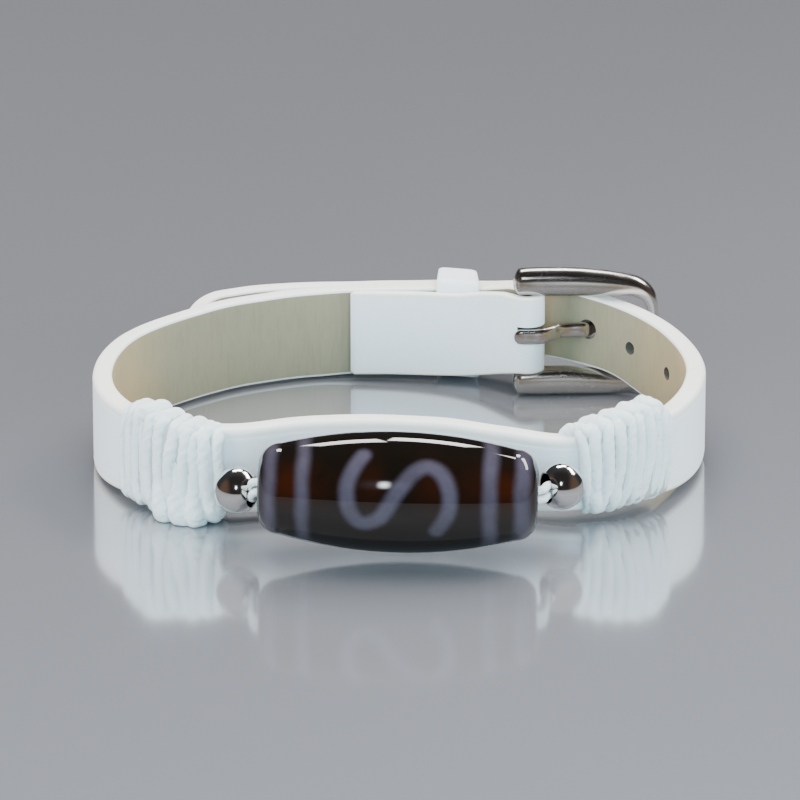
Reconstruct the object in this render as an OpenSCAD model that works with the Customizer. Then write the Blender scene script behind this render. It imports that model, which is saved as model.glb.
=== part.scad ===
// Leather bracelet with a barrel-shaped dzi bead, two silver balls, two corded wraps and a buckle.
// Millimetres. The bracelet rests on its edge: the floor is z = 0 and the bead faces -Y.

/* [Strap] */
// Thickness of the leather strap
strap_t = 1.95; // [1.6:0.05:2.2]
// Thickness of the pared leather that turns back round the hinge bar
tab_t = 1.0; // [0.8:0.05:1.1]
// Rounding radius of the strap's painted edges
edge_r = 0.32; // [0.1:0.02:0.4]
// Diameter of the two free punched holes
hole_d = 1.3; // [1:0.1:1.6]

/* [Keeper] */
// Width of the keeper loop along the strap
keeper_w = 4.3; // [3:0.1:6]
// Thickness of the keeper's leather
keeper_t = 0.75; // [0.5:0.05:0.85]

/* [Buckle] */
// Diameter of the hinge bar
hinge_d = 1.5; // [1.2:0.05:1.6]
// Thickness of the prong's wire seen from above
prong_t = 0.8; // [0.6:0.05:0.9]
// Height of the prong's wire
prong_h = 1.6; // [1.2:0.05:1.7]

/* [Bead and balls] */
// Length of the bead
bead_l = 27.2; // [26:0.1:27.3]
// Largest diameter of the bead
bead_d = 11.8; // [10:0.1:12]
// Radius of the arc that gives the bead its barrel shape
bead_arc_r = 46; // [40:0.5:60]
// Rounding radius of the bead's ends
bead_end_r = 2.2; // [1.6:0.1:2.4]
// Diameter of the bead's drilled hole
bead_bore_d = 2.3; // [2.2:0.05:2.6]
// Diameter of the silver balls
ball_d = 4.6; // [4.4:0.1:4.7]
// Diameter of the hole through a silver ball
ball_bore_d = 3.2; // [3.1:0.05:3.4]

/* [Cord] */
// Diameter of one strand of the cord that carries the bead
strand_d = 0.92; // [0.8:0.02:0.96]
// Number of visible turns in one wrap
wrap_turns = 9; // [6:1:12]

/* [Hidden] */

// Space kept between two pieces that lie against each other
gap = 0.05;

// Steps round a drilled hole or a rod, a frame section, a wrap section and a strand of cord
round_fn = 48;
frame_sides = 12;
wrap_sides = 18;
strand_sides = 8;
// Angles at each rounded corner of a strap section and of the keeper
section_corner = [0, 45, 90];
keeper_corner = [0 : 22.5 : 90];
// Steps between two rows of a table
strap_steps = 3;
wrap_steps = 12;
frame_steps = 2;
prong_steps = 3;
cord_steps = 2;
// Points along the arc of the bead and of a ball, each way from its middle, and the step of the bead's ends
bead_arc_points = 8;
ball_arc_points = 6;
bead_end_step = 15;
// The most of a section's half thickness and of its height that a rounded corner takes
corner_of_half_t = 0.8;
corner_of_h = 0.4;

leather_white = [0.93, 0.92, 0.91];
cord_white = [0.90, 0.93, 0.94];
steel = [0.75, 0.76, 0.78];
bead_brown = [0.16, 0.08, 0.05];

// Centre of the hinge bar in plan, and the angle at which the leather meets it
hinge = [13.1, 21.9];
hinge_lean = 29;
hinge_z = 6.9;
fold_r = hinge_d / 2 + gap + tab_t / 2;
fold_z = [2.4, 11.4];
// Play of the folded leather in the recess between the frame's bars
fold_play = 0.15;
fold_step = 22.5;

// Strap sections: x, y, z_low, z_high, thickness, along the middle of the leather
tab_rows = [
    [-5.1, 26.0, 0.75, 9.8, tab_t],
    [-1.0, 25.75, 0.85, 9.85, tab_t],
    [2.5, 25.2, 0.95, 9.95, tab_t],
    [5.9, 24.3, 1.2, 10.1, tab_t],
    [8.4, 23.4, 1.6, 10.6, tab_t],
    [10.6, 22.1, 2.1, 11.1, tab_t]
];
fold_rows = [
    for (a = [-90 - hinge_lean : fold_step : 90 - hinge_lean])
        [hinge.x + fold_r * cos(a), hinge.y + fold_r * sin(a), fold_z[0], fold_z[1], tab_t]
];
// From the hinge round the rear left, the left side and the front to the right side
loop_rows = [
    [11.6, 24.3, 2.1, 11.1, 1.2],
    [9.6, 25.6, 1.65, 10.6, 1.75],
    [7.9, 26.47, 1.4, 10.08, strap_t],
    [6.0, 27.05, 1.3, 10.05, strap_t],
    [4.0, 27.4, 1.25, 10.0, strap_t],
    [1.0, 27.55, 0.9, 9.9, strap_t],
    [-2.0, 27.6, 0.65, 9.85, strap_t],
    [-5.1, 27.55, 0.45, 9.7, strap_t],
    [-8.0, 27.2, 0.3, 9.65, strap_t],
    [-11.0, 26.45, 0.3, 9.65, strap_t],
    [-14.0, 25.25, 0.3, 9.65, strap_t],
    [-17.0, 23.75, 0.3, 9.65, strap_t],
    [-20.0, 21.55, 0.3, 9.65, strap_t],
    [-23.0, 18.8, 0.3, 9.65, strap_t],
    [-25.8, 15.6, 0.3, 9.7, strap_t],
    [-27.9, 12.0, 0.3, 9.7, strap_t],
    [-29.2, 8.1, 0.3, 9.7, strap_t],
    [-29.8, 4.0, 0.3, 9.7, strap_t],
    [-29.75, 0.0, 0.3, 9.7, strap_t],
    [-29.0, -3.8, 0.35, 9.65, strap_t],
    [-27.3, -7.6, 0.7, 9.6, strap_t],
    [-24.6, -11.0, 1.15, 9.6, strap_t],
    [-20.8, -13.5, 1.2, 9.7, strap_t],
    [-16.0, -14.4, 0.95, 9.8, strap_t],
    [-10.0, -13.15, 0.6, 10.05, strap_t],
    [-3.0, -12.45, 0.4, 10.05, strap_t],
    [4.0, -12.6, 0.4, 9.8, strap_t],
    [10.0, -13.35, 0.65, 9.15, strap_t],
    [16.0, -14.4, 1.05, 8.75, strap_t],
    [20.9, -13.4, 1.35, 9.1, strap_t],
    [24.7, -10.7, 1.25, 9.3, strap_t],
    [27.2, -7.0, 0.8, 9.4, strap_t],
    [28.9, -2.6, 0.6, 9.55, strap_t],
    [29.7, 2.4, 0.6, 9.55, strap_t]
];
// From the right side through the buckle and the keeper towards the free end
tail_rows = [
    [29.6, 6.4, 0.75, 9.6, strap_t],
    [28.8, 10.3, 1.0, 9.75, strap_t],
    [27.3, 14.1, 1.35, 10.0, strap_t],
    [25.2, 17.8, 1.75, 10.2, strap_t],
    [22.6, 20.8, 2.6, 10.4, strap_t],
    [20.0, 23.1, 2.8, 10.5, strap_t],
    [15.6, 25.8, 2.9, 10.65, strap_t],
    [12.0, 27.15, 2.5, 10.4, strap_t],
    [8.9, 28.35, 1.9, 9.95, strap_t],
    [6.2, 29.08, 1.65, 9.75, strap_t],
    [4.0, 29.42, 1.55, 9.65, strap_t],
    [1.0, 29.63, 1.45, 9.55, strap_t],
    [-2.0, 29.68, 1.35, 9.5, strap_t],
    [-5.1, 29.6, 1.3, 9.45, strap_t],
    [-9.0, 29.45, 1.25, 9.4, strap_t],
    [-12.0, 29.1, 1.25, 9.4, strap_t],
    [-15.0, 28.45, 1.25, 9.4, strap_t]
];
// The rounded free end: the height falls as a quarter ellipse from tip_start to tip_end
tip_start = [-17.6, 27.5];
tip_end = [-21.9, 24.5];
tip_mid_z = 5.3;
tip_half_h = 4.05;
tip_steps = [0, 0.35, 0.62, 0.82, 0.94, 0.995];
tip_bow = 0.45;
tip_rows = [
    for (t = tip_steps)
        let (
            p = tip_start + t * (tip_end - tip_start),
            bow = tip_bow * sin(180 * t),
            h = tip_half_h * sqrt(1 - t * t)
        )
            [p.x - bow, p.y + bow, tip_mid_z - h, tip_mid_z + h, strap_t]
];

// Places along the strap where the wraps begin and end, as x of the strap's middle
wrap_left_x = [-26.6, -17.3];
wrap_right_x = [17.3, 25.7];
// Wrap sections: share of the wrap's length, how far the cord stands off the leather outside and inside,
// its lift over the top edge, height of its foot over the floor, shift of its inner side along the strap
wrap_left_rows = [
    [0, 0.85, 0.7, 0.6, 0.45, -1.6],
    [0.2, 1.2, 1.2, 1.8, 0.35, -1.3],
    [0.4, 1.4, 1.35, 1.45, 0.15, -0.7],
    [0.6, 2.0, 1.25, 1.1, 0.02, -0.3],
    [0.8, 2.1, 1.05, 0.75, 0.02, -0.1],
    [1, 1.4, 0.7, 0.2, 0.4, 0]
];
wrap_right_rows = [
    [0, 0.95, 1.0, 0.9, 0.45, -1.5],
    [0.15, 1.2, 1.4, 1.3, 0.3, -1.0],
    [0.3, 1.3, 1.6, 1.5, 0.15, -0.4],
    [0.5, 1.3, 1.9, 1.75, 0.3, 0.6],
    [0.8, 1.15, 1.9, 2.0, 0.4, 1.7],
    [1, 0.9, 1.3, 0.9, 0.5, 2.2]
];
// Squareness of a wrap section, as a power: over the top, at the left foot, at the right foot, inside
wrap_top_round = 0.55;
wrap_left_foot_round = 0.42;
wrap_right_foot_round = 0.62;
wrap_inner_round = 0.25;
wrap_inner_squareness = [wrap_inner_round, wrap_inner_round];
// In the valley between two turns the cord keeps this share of its height; the power rounds its crests
wrap_valley = 0.72;
crest_power = 0.7;
// Space between the leather and the inside of a wrap
wrap_clearance = 0.18;
// Every how many rows of the path the inside of a wrap has a section
wrap_inner_every = 2;

// Buckle frame sections: x, z, half height in the frame's plane, half depth across it
frame_rows = [
    [11.62, 12.25, 0.35, 0.45],
    [11.95, 12.25, 1.05, 1.1],
    [12.8, 12.24, 1.42, 1.35],
    [17.0, 12.22, 1.46, 1.4],
    [20.0, 12.1, 1.35, 1.35],
    [22.5, 11.9, 1.18, 1.28],
    [24.3, 11.55, 1.05, 1.2],
    [25.5, 10.7, 0.86, 1.12],
    [26.02, 9.3, 0.66, 1.05],
    [26.1, 6.8, 0.62, 1.05],
    [26.02, 4.2, 0.66, 1.05],
    [25.5, 2.6, 0.86, 1.12],
    [24.3, 1.5, 1.02, 1.2],
    [22.5, 1.27, 1.18, 1.28],
    [20.0, 1.35, 1.33, 1.35],
    [17.0, 1.48, 1.46, 1.4],
    [12.8, 1.45, 1.42, 1.35],
    [11.95, 1.45, 1.05, 1.1],
    [11.62, 1.45, 0.35, 0.45]
];
frame_turn = 2.3;
frame_y = hinge.y;

// Prong sections: x, y, z_low, z_high, thickness, from the curl on the tab to the tip past the end bar
prong_low = hinge_z - prong_h / 2;
prong_high = hinge_z + prong_h / 2;
prong_rows = [
    [11.75, 19.98, hinge_z - 0.3, hinge_z + 0.3, 0.4],
    [12.0, 19.96, prong_low + 0.2, prong_high - 0.2, prong_t],
    [12.45, 19.95, prong_low + 0.03, prong_high - 0.03, prong_t],
    [13.1, 19.97, prong_low, prong_high, prong_t],
    [14.2, 20.02, prong_low, prong_high, prong_t],
    [14.9, 20.25, prong_low, prong_high, prong_t],
    [15.6, 20.85, prong_low, prong_high, prong_t],
    [16.3, 21.65, prong_low, prong_high, prong_t],
    [17.4, 22.05, prong_low, prong_high, prong_t],
    [19.0, 22.3, prong_low, prong_high, prong_t],
    [19.9, 23.0, prong_low + 0.15, prong_high - 0.15, prong_t],
    [20.8, 24.1, prong_low + 0.2, prong_high - 0.2, prong_t],
    [22.2, 24.5, prong_low + 0.2, prong_high - 0.2, prong_t],
    [25.0, 24.3, prong_low + 0.3, prong_high - 0.3, prong_t],
    [27.0, 24.15, prong_low + 0.4, prong_high - 0.4, prong_t],
    [27.4, 24.15, hinge_z - 0.25, hinge_z + 0.25, 0.4]
];
ring_r = 1.65;

// Slot in the fold that lets the prong out: play over the prong, start before the hinge, reach each way
slot_play = 0.25;
slot_start = 1.05;
slot_reach = [4, 4.2];
// Height range of the hinge bar, whose ends lie inside the frame's two long bars
hinge_bar_z = [1.4, 12.3];

// Punched holes, the prong's first: x, y, z, direction of the hole seen from above, diameter
punched_holes = [
    [19.95, 23.1, 6.9, 50, 2.1],
    [24.33, 18.93, 6.25, 40, hole_d],
    [28.05, 12.4, 5.75, 22, hole_d]
];

// Keeper: middle, direction of the strap there, clear depth and height, rounding of its corners from
// the top at the back round to the bottom at the back, edge bevel, taper to the back
keeper_mid = [6.0, 28.05, 5.7];
keeper_yaw = -13.5;
keeper_clear = [4.5, 9.06];
keeper_corners = [1.2, 0.8, 0.9, 0.9];
keeper_edge = 0.2;
keeper_taper = 0.14;

// The bead's axis: middle and the two slopes, read off its two ends
bead_mid = [-0.2, -24.75, 6.8];
bead_fall = 1.3;
bead_yaw = -1.2;
ball_left = [-15.9, -20.2, 5.25];
ball_right = [15.8, -19.6, 5.45];
// Turn of each ball's hole from straight along X, so that it faces the bead and the wrap
ball_yaw = 22;

// Route of the pair of strands, from the left wrap through ball, bead and ball to the right wrap
cord_route = [
    [-18.35, -17.45, 5.2],
    [-17.3, -18.5, 5.15],
    [-16.6, -19.4, 5.15],
    [-15.9, -20.2, 5.2],
    [-15.05, -20.78, 5.32],
    [-14.42, -21.42, 5.43],
    [-14.37, -22.5, 5.9],
    [-14.38, -23.4, 6.52],
    [-14.05, -24.12, 7.07],
    [-13.3, -24.35, 7.12],
    [-12.0, -24.5, 7.06],
    [-6.0, -24.63, 6.93],
    [0.0, -24.76, 6.79],
    [6.0, -24.88, 6.66],
    [11.6, -25.0, 6.53],
    [12.8, -24.95, 6.5],
    [13.6, -24.7, 6.45],
    [14.0, -24.1, 6.35],
    [14.13, -23.25, 6.15],
    [14.2, -22.2, 5.85],
    [14.42, -21.15, 5.6],
    [14.98, -20.3, 5.45],
    [15.8, -19.6, 5.4],
    [16.6, -18.7, 5.4],
    [17.6, -17.65, 5.4],
    [18.5, -16.75, 5.4]
];

// Where the middle of the whole footprint lies, so that it becomes the origin
footprint = [-0.05, 0.45];

// Smooth rows: Catmull-Rom curve through every column, with a number of steps between two rows
function spline(a, b, c, d, t) =
    0.5 * (2 * b + t * (c - a) + t * t * (2 * a - 5 * b + 4 * c - d) + t * t * t * (3 * b - a - 3 * c + d));
function smooth(rows, steps) =
    let (n = len(rows))
        [
            for (i = [0 : n - 2])
                for (k = [0 : steps - 1])
                    spline(rows[max(i - 1, 0)], rows[i], rows[i + 1], rows[min(i + 2, n - 1)], k / steps),
            rows[n - 1]
        ];

// Direction of travel at row i, seen from above
function heading(rows, i) =
    let (a = rows[max(i - 1, 0)], b = rows[min(i + 1, len(rows) - 1)])
        atan2(b.y - a.y, b.x - a.x);

// A rounded rectangle of a strap section as points [to the right of travel, up]
function strap_section(half_t, z_low, z_high, r) =
    let (q = min(r, half_t * corner_of_half_t, (z_high - z_low) * corner_of_h))
        [
            for (k = [0 : 3])
                for (a = section_corner)
                    let (sx = (k == 0 || k == 3) ? 1 : -1, sz = k < 2 ? 1 : -1)
                        [
                            sx * (half_t - q) + q * cos(90 * k + a),
                            (sz > 0 ? z_high - q : z_low + q) + q * sin(90 * k + a)
                        ]
        ];

// A section standing across the path at row i
function standing(points, row, turn) =
    [for (p = points) [row.x + p.x * sin(turn), row.y - p.x * cos(turn), p.y]];

function strap_rings(rows) =
    [
        for (i = [0 : len(rows) - 1])
            let (row = rows[i])
                standing(strap_section(row[4] / 2, row[2], row[3], edge_r), row, heading(rows, i))
    ];

// A closed skin over rings of equal length, each wound right, up, left, down as seen along the path;
// looped joins the last ring to the first
module skin(rings, looped = false) {
    n = len(rings);
    m = len(rings[0]);
    last = looped ? n - 1 : n - 2;
    sides = [
        for (i = [0 : last])
            for (j = [0 : m - 1])
                let (u = ((i + 1) % n) * m, v = (j + 1) % m)
                    [i * m + j, i * m + v, u + v, u + j]
    ];
    caps = looped ? [] : [[for (j = [m - 1 : -1 : 0]) j], [for (j = [0 : m - 1]) (n - 1) * m + j]];
    polyhedron([for (ring = rings) each ring], concat(sides, caps));
}

strap_path = concat(
    smooth(tab_rows, strap_steps),
    fold_rows,
    smooth(concat(loop_rows, tail_rows, tip_rows), strap_steps)
);

// The front part of the strap that carries the wraps, in finer steps
front_path = smooth(loop_rows, wrap_steps);
function between(low, high, y_max) =
    [for (p = front_path) if (p.x >= low && p.x <= high && p.y < y_max) p];

// One hole across the strap, from a row of punched_holes
module punch(hole) {
    translate([hole.x, hole.y, hole.z])
        rotate([0, 0, hole[3]])
            rotate([0, 90, 0])
                cylinder(h = 3 * strap_t, d = hole[4], center = true, $fn = round_fn);
}

module placed() {
    translate([-footprint.x, -footprint.y, 0])
        children();
}

module strap() {
    slot_h = prong_h + slot_play;
    color(leather_white)
        placed()
            difference() {
                skin(strap_rings(strap_path));
                translate([hinge.x - slot_start, hinge.y - slot_reach.x, hinge_z - slot_h / 2])
                    cube([slot_reach.x, slot_reach.y, slot_h]);
                translate([hinge.x, hinge.y, hinge_z - slot_h / 2])
                    cylinder(h = slot_h, r = ring_r + gap, $fn = round_fn);
                for (hole = punched_holes)
                    punch(hole);
            }
}

// One section of the keeper band: at is its middle as [depth, height], turn the way it faces
function keeper_ring(at, turn) =
    let (
        w = keeper_w / 2 * (1 - keeper_taper * at.x / keeper_clear.x),
        t = keeper_t / 2,
        e = keeper_edge,
        section = [
            [w, t - e], [w, e - t], [w - e, -t], [e - w, -t],
            [-w, e - t], [-w, t - e], [e - w, t], [w - e, t]
        ]
    )
        [
            for (p = section)
                keeper_mid + [
                    p.x * cos(keeper_yaw),
                    p.x * sin(keeper_yaw) + (at.x + p.y * cos(turn)) / cos(keeper_yaw),
                    at.y + p.y * sin(turn)
                ]
        ];

module strap_keeper() {
    half_d = (keeper_clear.x + keeper_t) / 2;
    half_h = (keeper_clear.y + keeper_t) / 2;
    rings = [
        for (k = [0 : 3])
            for (a = keeper_corner)
                let (
                    turn = 90 * k + a,
                    r = keeper_corners[k],
                    sx = (k == 0 || k == 3) ? 1 : -1,
                    sz = k < 2 ? 1 : -1,
                    at = [sx * (half_d - r) + r * cos(turn), sz * (half_h - r) + r * sin(turn)]
                )
                    keeper_ring(at, turn)
    ];
    color(leather_white)
        placed()
            skin(rings, looped = true);
}

// Rings of the buckle frame: ellipses square to its outline, in the frame's own plane
function frame_rings(rows) =
    [
        for (i = [0 : len(rows) - 1])
            let (
                a = rows[max(i - 1, 0)],
                b = rows[min(i + 1, len(rows) - 1)],
                turn = atan2(b[1] - a[1], b[0] - a[0])
            )
                [
                    for (k = [0 : frame_sides - 1])
                        let (round_k = 360 * k / frame_sides)
                            [
                                rows[i][0] - rows[i][2] * cos(round_k) * sin(turn) - hinge.x,
                                rows[i][3] * sin(round_k),
                                rows[i][1] + rows[i][2] * cos(round_k) * cos(turn)
                            ]
                ]
    ];

module buckle_frame() {
    color(steel)
        placed()
            translate([hinge.x, frame_y, 0])
                rotate([0, 0, frame_turn])
                    union() {
                        difference() {
                            skin(frame_rings(smooth(frame_rows, frame_steps)));
                            translate([0, 0, fold_z[0] - fold_play])
                                cylinder(
                                    h = fold_z[1] - fold_z[0] + 2 * fold_play,
                                    r = fold_r + tab_t / 2 + fold_play,
                                    $fn = round_fn
                                );
                        }
                        translate([0, 0, hinge_bar_z[0]])
                            cylinder(h = hinge_bar_z[1] - hinge_bar_z[0], d = hinge_d, $fn = round_fn);
                    }
}

module buckle_prong() {
    color(steel)
        placed()
            union() {
                skin(strap_rings(smooth(prong_rows, prong_steps)));
                translate([hinge.x, hinge.y, hinge_z])
                    difference() {
                        cylinder(h = prong_h - 2 * gap, r = ring_r, center = true, $fn = round_fn);
                        cylinder(h = 2 * prong_h, r = hinge_d / 2 + gap, center = true, $fn = round_fn);
                    }
            }
}

// Profile of a turn of cord: 0 in the valley between two turns and 1 on its crest
function crest(t) = pow(abs(sin(180 * wrap_turns * t)), crest_power);

// Column c of a wrap's rows at share t of its length
function column(rows, c, t) = lookup(t, [for (row = rows) [row[0], row[c]]]);

// One ring of a wrap round a strap section: reach as [outside, inside], heights as [low, high],
// squareness as [top, foot], fan the shift of the inner side along the strap
function wrap_ring(section, turn, reach, heights, squareness, fan) =
    let (half_h = (heights[1] - heights[0]) / 2, mid = (heights[1] + heights[0]) / 2)
        [
            for (k = [0 : wrap_sides - 1])
                let (
                    c = -cos(360 * k / wrap_sides),
                    s = sin(360 * k / wrap_sides),
                    bend = squareness[s < 0 ? 1 : 0],
                    off = (section[4] / 2 + reach[c < 0 ? 0 : 1]) * sign(c) * pow(abs(c), bend),
                    along = c < 0 ? 0 : fan * c
                )
                    [
                        section.x - off * sin(turn) + along * cos(turn),
                        section.y + off * cos(turn) + along * sin(turn),
                        mid + half_h * sign(s) * pow(abs(s), bend)
                    ]
        ];

module wrap_sleeve(ends, rows, foot_round) {
    path = between(ends[0], ends[1], 0);
    n = len(path);
    squareness = [wrap_top_round, foot_round];
    outer = [
        for (i = [0 : n - 1])
            let (
                t = i / (n - 1),
                swell = crest(t),
                share = wrap_valley + (1 - wrap_valley) * swell,
                reach = [share * column(rows, 1, t), share * column(rows, 2, t)],
                low = column(rows, 4, t) + (1 - wrap_valley) * (1 - swell),
                high = path[i][3] + share * column(rows, 3, t)
            )
                wrap_ring(path[i], heading(path, i), reach, [low, high], squareness, column(rows, 5, t))
    ];
    c = wrap_clearance;
    inner = [
        for (i = [n - 1 : -wrap_inner_every : 0])
            let (heights = [path[i][2] - c, path[i][3] + c])
                wrap_ring(path[i], heading(path, i), [c, c], heights, wrap_inner_squareness, 0)
    ];
    skin(concat(outer, inner), looped = true);
}

module cord_wrap_left() {
    color(cord_white)
        placed()
            wrap_sleeve(wrap_left_x, wrap_left_rows, wrap_left_foot_round);
}

module cord_wrap_right() {
    color(cord_white)
        placed()
            wrap_sleeve(wrap_right_x, wrap_right_rows, wrap_right_foot_round);
}

// Half outline of the bead: a shallow arc between two rounded ends
function bead_r(x) = bead_d / 2 - bead_arc_r + sqrt(bead_arc_r * bead_arc_r - x * x);
function bead_outline() =
    let (
        e = bead_l / 2,
        shoulder = e - bead_end_r,
        rim = bead_r(shoulder) - bead_end_r,
        n = bead_arc_points,
        step = bead_end_step
    )
        concat(
            [[0, -e]],
            [for (a = [-90 : step : -step]) [rim + bead_end_r * cos(a), -shoulder + bead_end_r * sin(a)]],
            [for (k = [-n : n]) [bead_r(k * shoulder / n), k * shoulder / n]],
            [for (a = [step : step : 90]) [rim + bead_end_r * cos(a), shoulder + bead_end_r * sin(a)]],
            [[0, e]]
        );

module dzi_bead() {
    color(bead_brown)
        placed()
            translate(bead_mid)
                rotate([0, 0, bead_yaw])
                    rotate([0, 90 + bead_fall, 0])
                        difference() {
                            rotate_extrude($fn = 2 * round_fn)
                                polygon(bead_outline());
                            cylinder(h = 2 * bead_l, d = bead_bore_d, center = true, $fn = round_fn);
                        }
}

// Half outline of a drilled ball: the arc between the two rims of its hole
function ball_outline() =
    let (rim = acos(ball_bore_d / ball_d), n = ball_arc_points)
        [for (k = [-n : n]) ball_d / 2 * [cos(rim * k / n), sin(rim * k / n)]];

module drilled_ball(centre, yaw) {
    color(steel)
        placed()
            translate(centre)
                rotate([0, 0, yaw])
                    rotate([0, 90, 0])
                        rotate_extrude($fn = round_fn)
                            polygon(ball_outline());
}

module silver_ball_left() {
    drilled_ball(ball_left, -ball_yaw);
}

module silver_ball_right() {
    drilled_ball(ball_right, ball_yaw);
}

// Rings of a round tube along a route in space, lifted off the route square to it
function tube_rings(route, r, lift) =
    [
        for (i = [0 : len(route) - 1])
            let (
                a = route[max(i - 1, 0)],
                b = route[min(i + 1, len(route) - 1)],
                along = (b - a) / norm(b - a),
                side = cross(along, [0, 0, 1]) / norm(cross(along, [0, 0, 1])),
                rise = cross(side, along)
            )
                [
                    for (k = [0 : strand_sides - 1])
                        let (turn = 360 * k / strand_sides)
                            route[i] + r * cos(turn) * side + (lift + r * sin(turn)) * rise
                ]
    ];

module bead_strand(lift) {
    color(cord_white)
        placed()
            skin(tube_rings(smooth(cord_route, cord_steps), strand_d / 2, lift));
}

module bead_cord_upper() {
    bead_strand((strand_d + gap) / 2);
}

module bead_cord_lower() {
    bead_strand(-(strand_d + gap) / 2);
}

strap();
strap_keeper();
buckle_frame();
buckle_prong();
cord_wrap_left();
cord_wrap_right();
dzi_bead();
silver_ball_left();
silver_ball_right();
bead_cord_upper();
bead_cord_lower();
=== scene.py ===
"""Leather bracelet with a barrel-shaped dzi bead, two silver balls, two corded wraps and a buckle.

Every new piece is a surface worked out with numpy from short tables in millimetres; the meshes are in metres.
"""

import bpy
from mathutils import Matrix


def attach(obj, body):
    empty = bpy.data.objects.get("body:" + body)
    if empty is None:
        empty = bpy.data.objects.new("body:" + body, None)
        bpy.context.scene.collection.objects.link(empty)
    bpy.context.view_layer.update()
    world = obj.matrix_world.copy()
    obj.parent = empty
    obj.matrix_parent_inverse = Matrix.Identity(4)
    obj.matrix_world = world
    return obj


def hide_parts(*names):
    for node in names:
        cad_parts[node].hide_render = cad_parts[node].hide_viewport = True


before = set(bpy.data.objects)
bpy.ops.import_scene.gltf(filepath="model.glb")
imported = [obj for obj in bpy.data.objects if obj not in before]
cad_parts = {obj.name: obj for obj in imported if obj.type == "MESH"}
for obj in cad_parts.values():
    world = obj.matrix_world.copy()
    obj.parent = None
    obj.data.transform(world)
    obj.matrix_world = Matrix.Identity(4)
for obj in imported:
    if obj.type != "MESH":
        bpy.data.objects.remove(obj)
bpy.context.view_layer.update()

import copy
import math

import bpy
import numpy as np
from bpy.props import FloatProperty, FloatVectorProperty, PointerProperty
from mathutils import Vector

bl_info = {
    "name": "Dzi Bead Bracelet",
    "version": (1, 0, 0),
    "blender": (4, 5, 0),
    "location": "3D View > Sidebar > Bracelet",
    "description": "Builds the leather, cord, metal and bead of the bracelet and its studio",
    "category": "Object",
}

MM = 0.001
# The tables are drawn about a point of their own plan; this puts the footprint's middle at the origin
PLACE = np.array([0.05, -0.45, 0.0])
# Faces that meet at more than this many degrees show a sharp edge
SMOOTH_ANGLE = 40.0
# Sides of a round rod
ROD_SIDES = 48
# Values of the surface map's second part that the leather's colours go by
V_FACE = 0.2
V_LINING = 0.7
V_HOLE = 5.0

# Leather: thickness of the strap and of its pared tab, spacing of the strap's sections, rounding of its
# ends and of its lining's edges
STRAP_T = 1.95
TAB_T = 1.0
STRAP_SPACING = 0.36
STRAP_END_R = 0.3
LINING_ROUND = 0.3
# Shares round a section that each side and each edge take, and where the top edge and the lining end
SIDE_SHARE = 0.4
EDGE_SHARE = 0.1
TOP_END = 0.5
LINING_END = 0.9
# Shares of an edge that each of its quarter circles and the flat between them take
EDGE_BEND = 0.4
EDGE_FLAT = 0.2
# Creases of the outer face: below the top edge, above the bottom edge, width
CREASE_DOWN = 0.95
CREASE_UP = 0.9
CREASE_W = 0.1
# Hinge bar, and the fold of the tab round it: radius, lean in degrees, low and high
HINGE = np.array([13.1, 21.9, 6.9])
HINGE_R = 0.75
FOLD_R = 1.3
FOLD_LEAN = 29.0
FOLD_Z = (2.7, 11.0)

# Strap rows: x, y, low, high, thickness of the leather along its middle
TAB_ROWS = [
    (-5.1, 26.0, 0.75, 9.8, TAB_T),
    (-1.0, 25.75, 0.85, 9.85, TAB_T),
    (2.5, 25.2, 0.95, 9.95, TAB_T),
    (5.9, 24.3, 1.2, 10.1, TAB_T),
    (8.4, 23.4, 1.6, 10.6, TAB_T),
    (10.6, 22.1, 2.2, 11.0, TAB_T),
]
LOOP_ROWS = [
    (11.6, 24.3, 2.1, 11.1, 1.2),
    (9.6, 25.6, 1.65, 10.6, 1.75),
    (7.9, 26.47, 1.4, 10.08, STRAP_T),
    (6.0, 27.05, 1.3, 10.05, STRAP_T),
    (4.0, 27.4, 1.25, 10.0, STRAP_T),
    (1.0, 27.55, 0.9, 9.9, STRAP_T),
    (-2.0, 27.6, 0.65, 9.85, STRAP_T),
    (-5.1, 27.55, 0.45, 9.7, STRAP_T),
    (-8.0, 27.2, 0.3, 9.65, STRAP_T),
    (-11.0, 26.45, 0.3, 9.65, STRAP_T),
    (-14.0, 25.25, 0.3, 9.65, STRAP_T),
    (-17.0, 23.75, 0.3, 9.65, STRAP_T),
    (-20.0, 21.55, 0.3, 9.65, STRAP_T),
    (-23.0, 18.8, 0.3, 9.65, STRAP_T),
    (-25.8, 15.6, 0.3, 9.7, STRAP_T),
    (-27.9, 12.0, 0.3, 9.7, STRAP_T),
    (-29.2, 8.1, 0.3, 9.7, STRAP_T),
    (-29.8, 4.0, 0.3, 9.7, STRAP_T),
    (-29.75, 0.0, 0.3, 9.7, STRAP_T),
    (-29.0, -3.8, 0.35, 9.65, STRAP_T),
    (-27.3, -7.6, 0.7, 9.6, STRAP_T),
    (-24.6, -11.0, 1.15, 9.6, STRAP_T),
    (-20.8, -13.5, 1.2, 9.7, STRAP_T),
    (-16.0, -14.4, 0.95, 9.8, STRAP_T),
    (-10.0, -13.15, 0.6, 10.05, STRAP_T),
    (-3.0, -12.45, 0.4, 10.05, STRAP_T),
    (4.0, -12.6, 0.4, 9.8, STRAP_T),
    (10.0, -13.35, 0.65, 9.15, STRAP_T),
    (16.0, -14.4, 1.05, 8.75, STRAP_T),
    (20.9, -13.4, 1.35, 9.1, STRAP_T),
    (24.7, -10.7, 1.25, 9.3, STRAP_T),
    (27.2, -7.0, 0.8, 9.4, STRAP_T),
    (28.9, -2.6, 0.6, 9.55, STRAP_T),
    (29.7, 2.4, 0.6, 9.55, STRAP_T),
]
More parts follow.
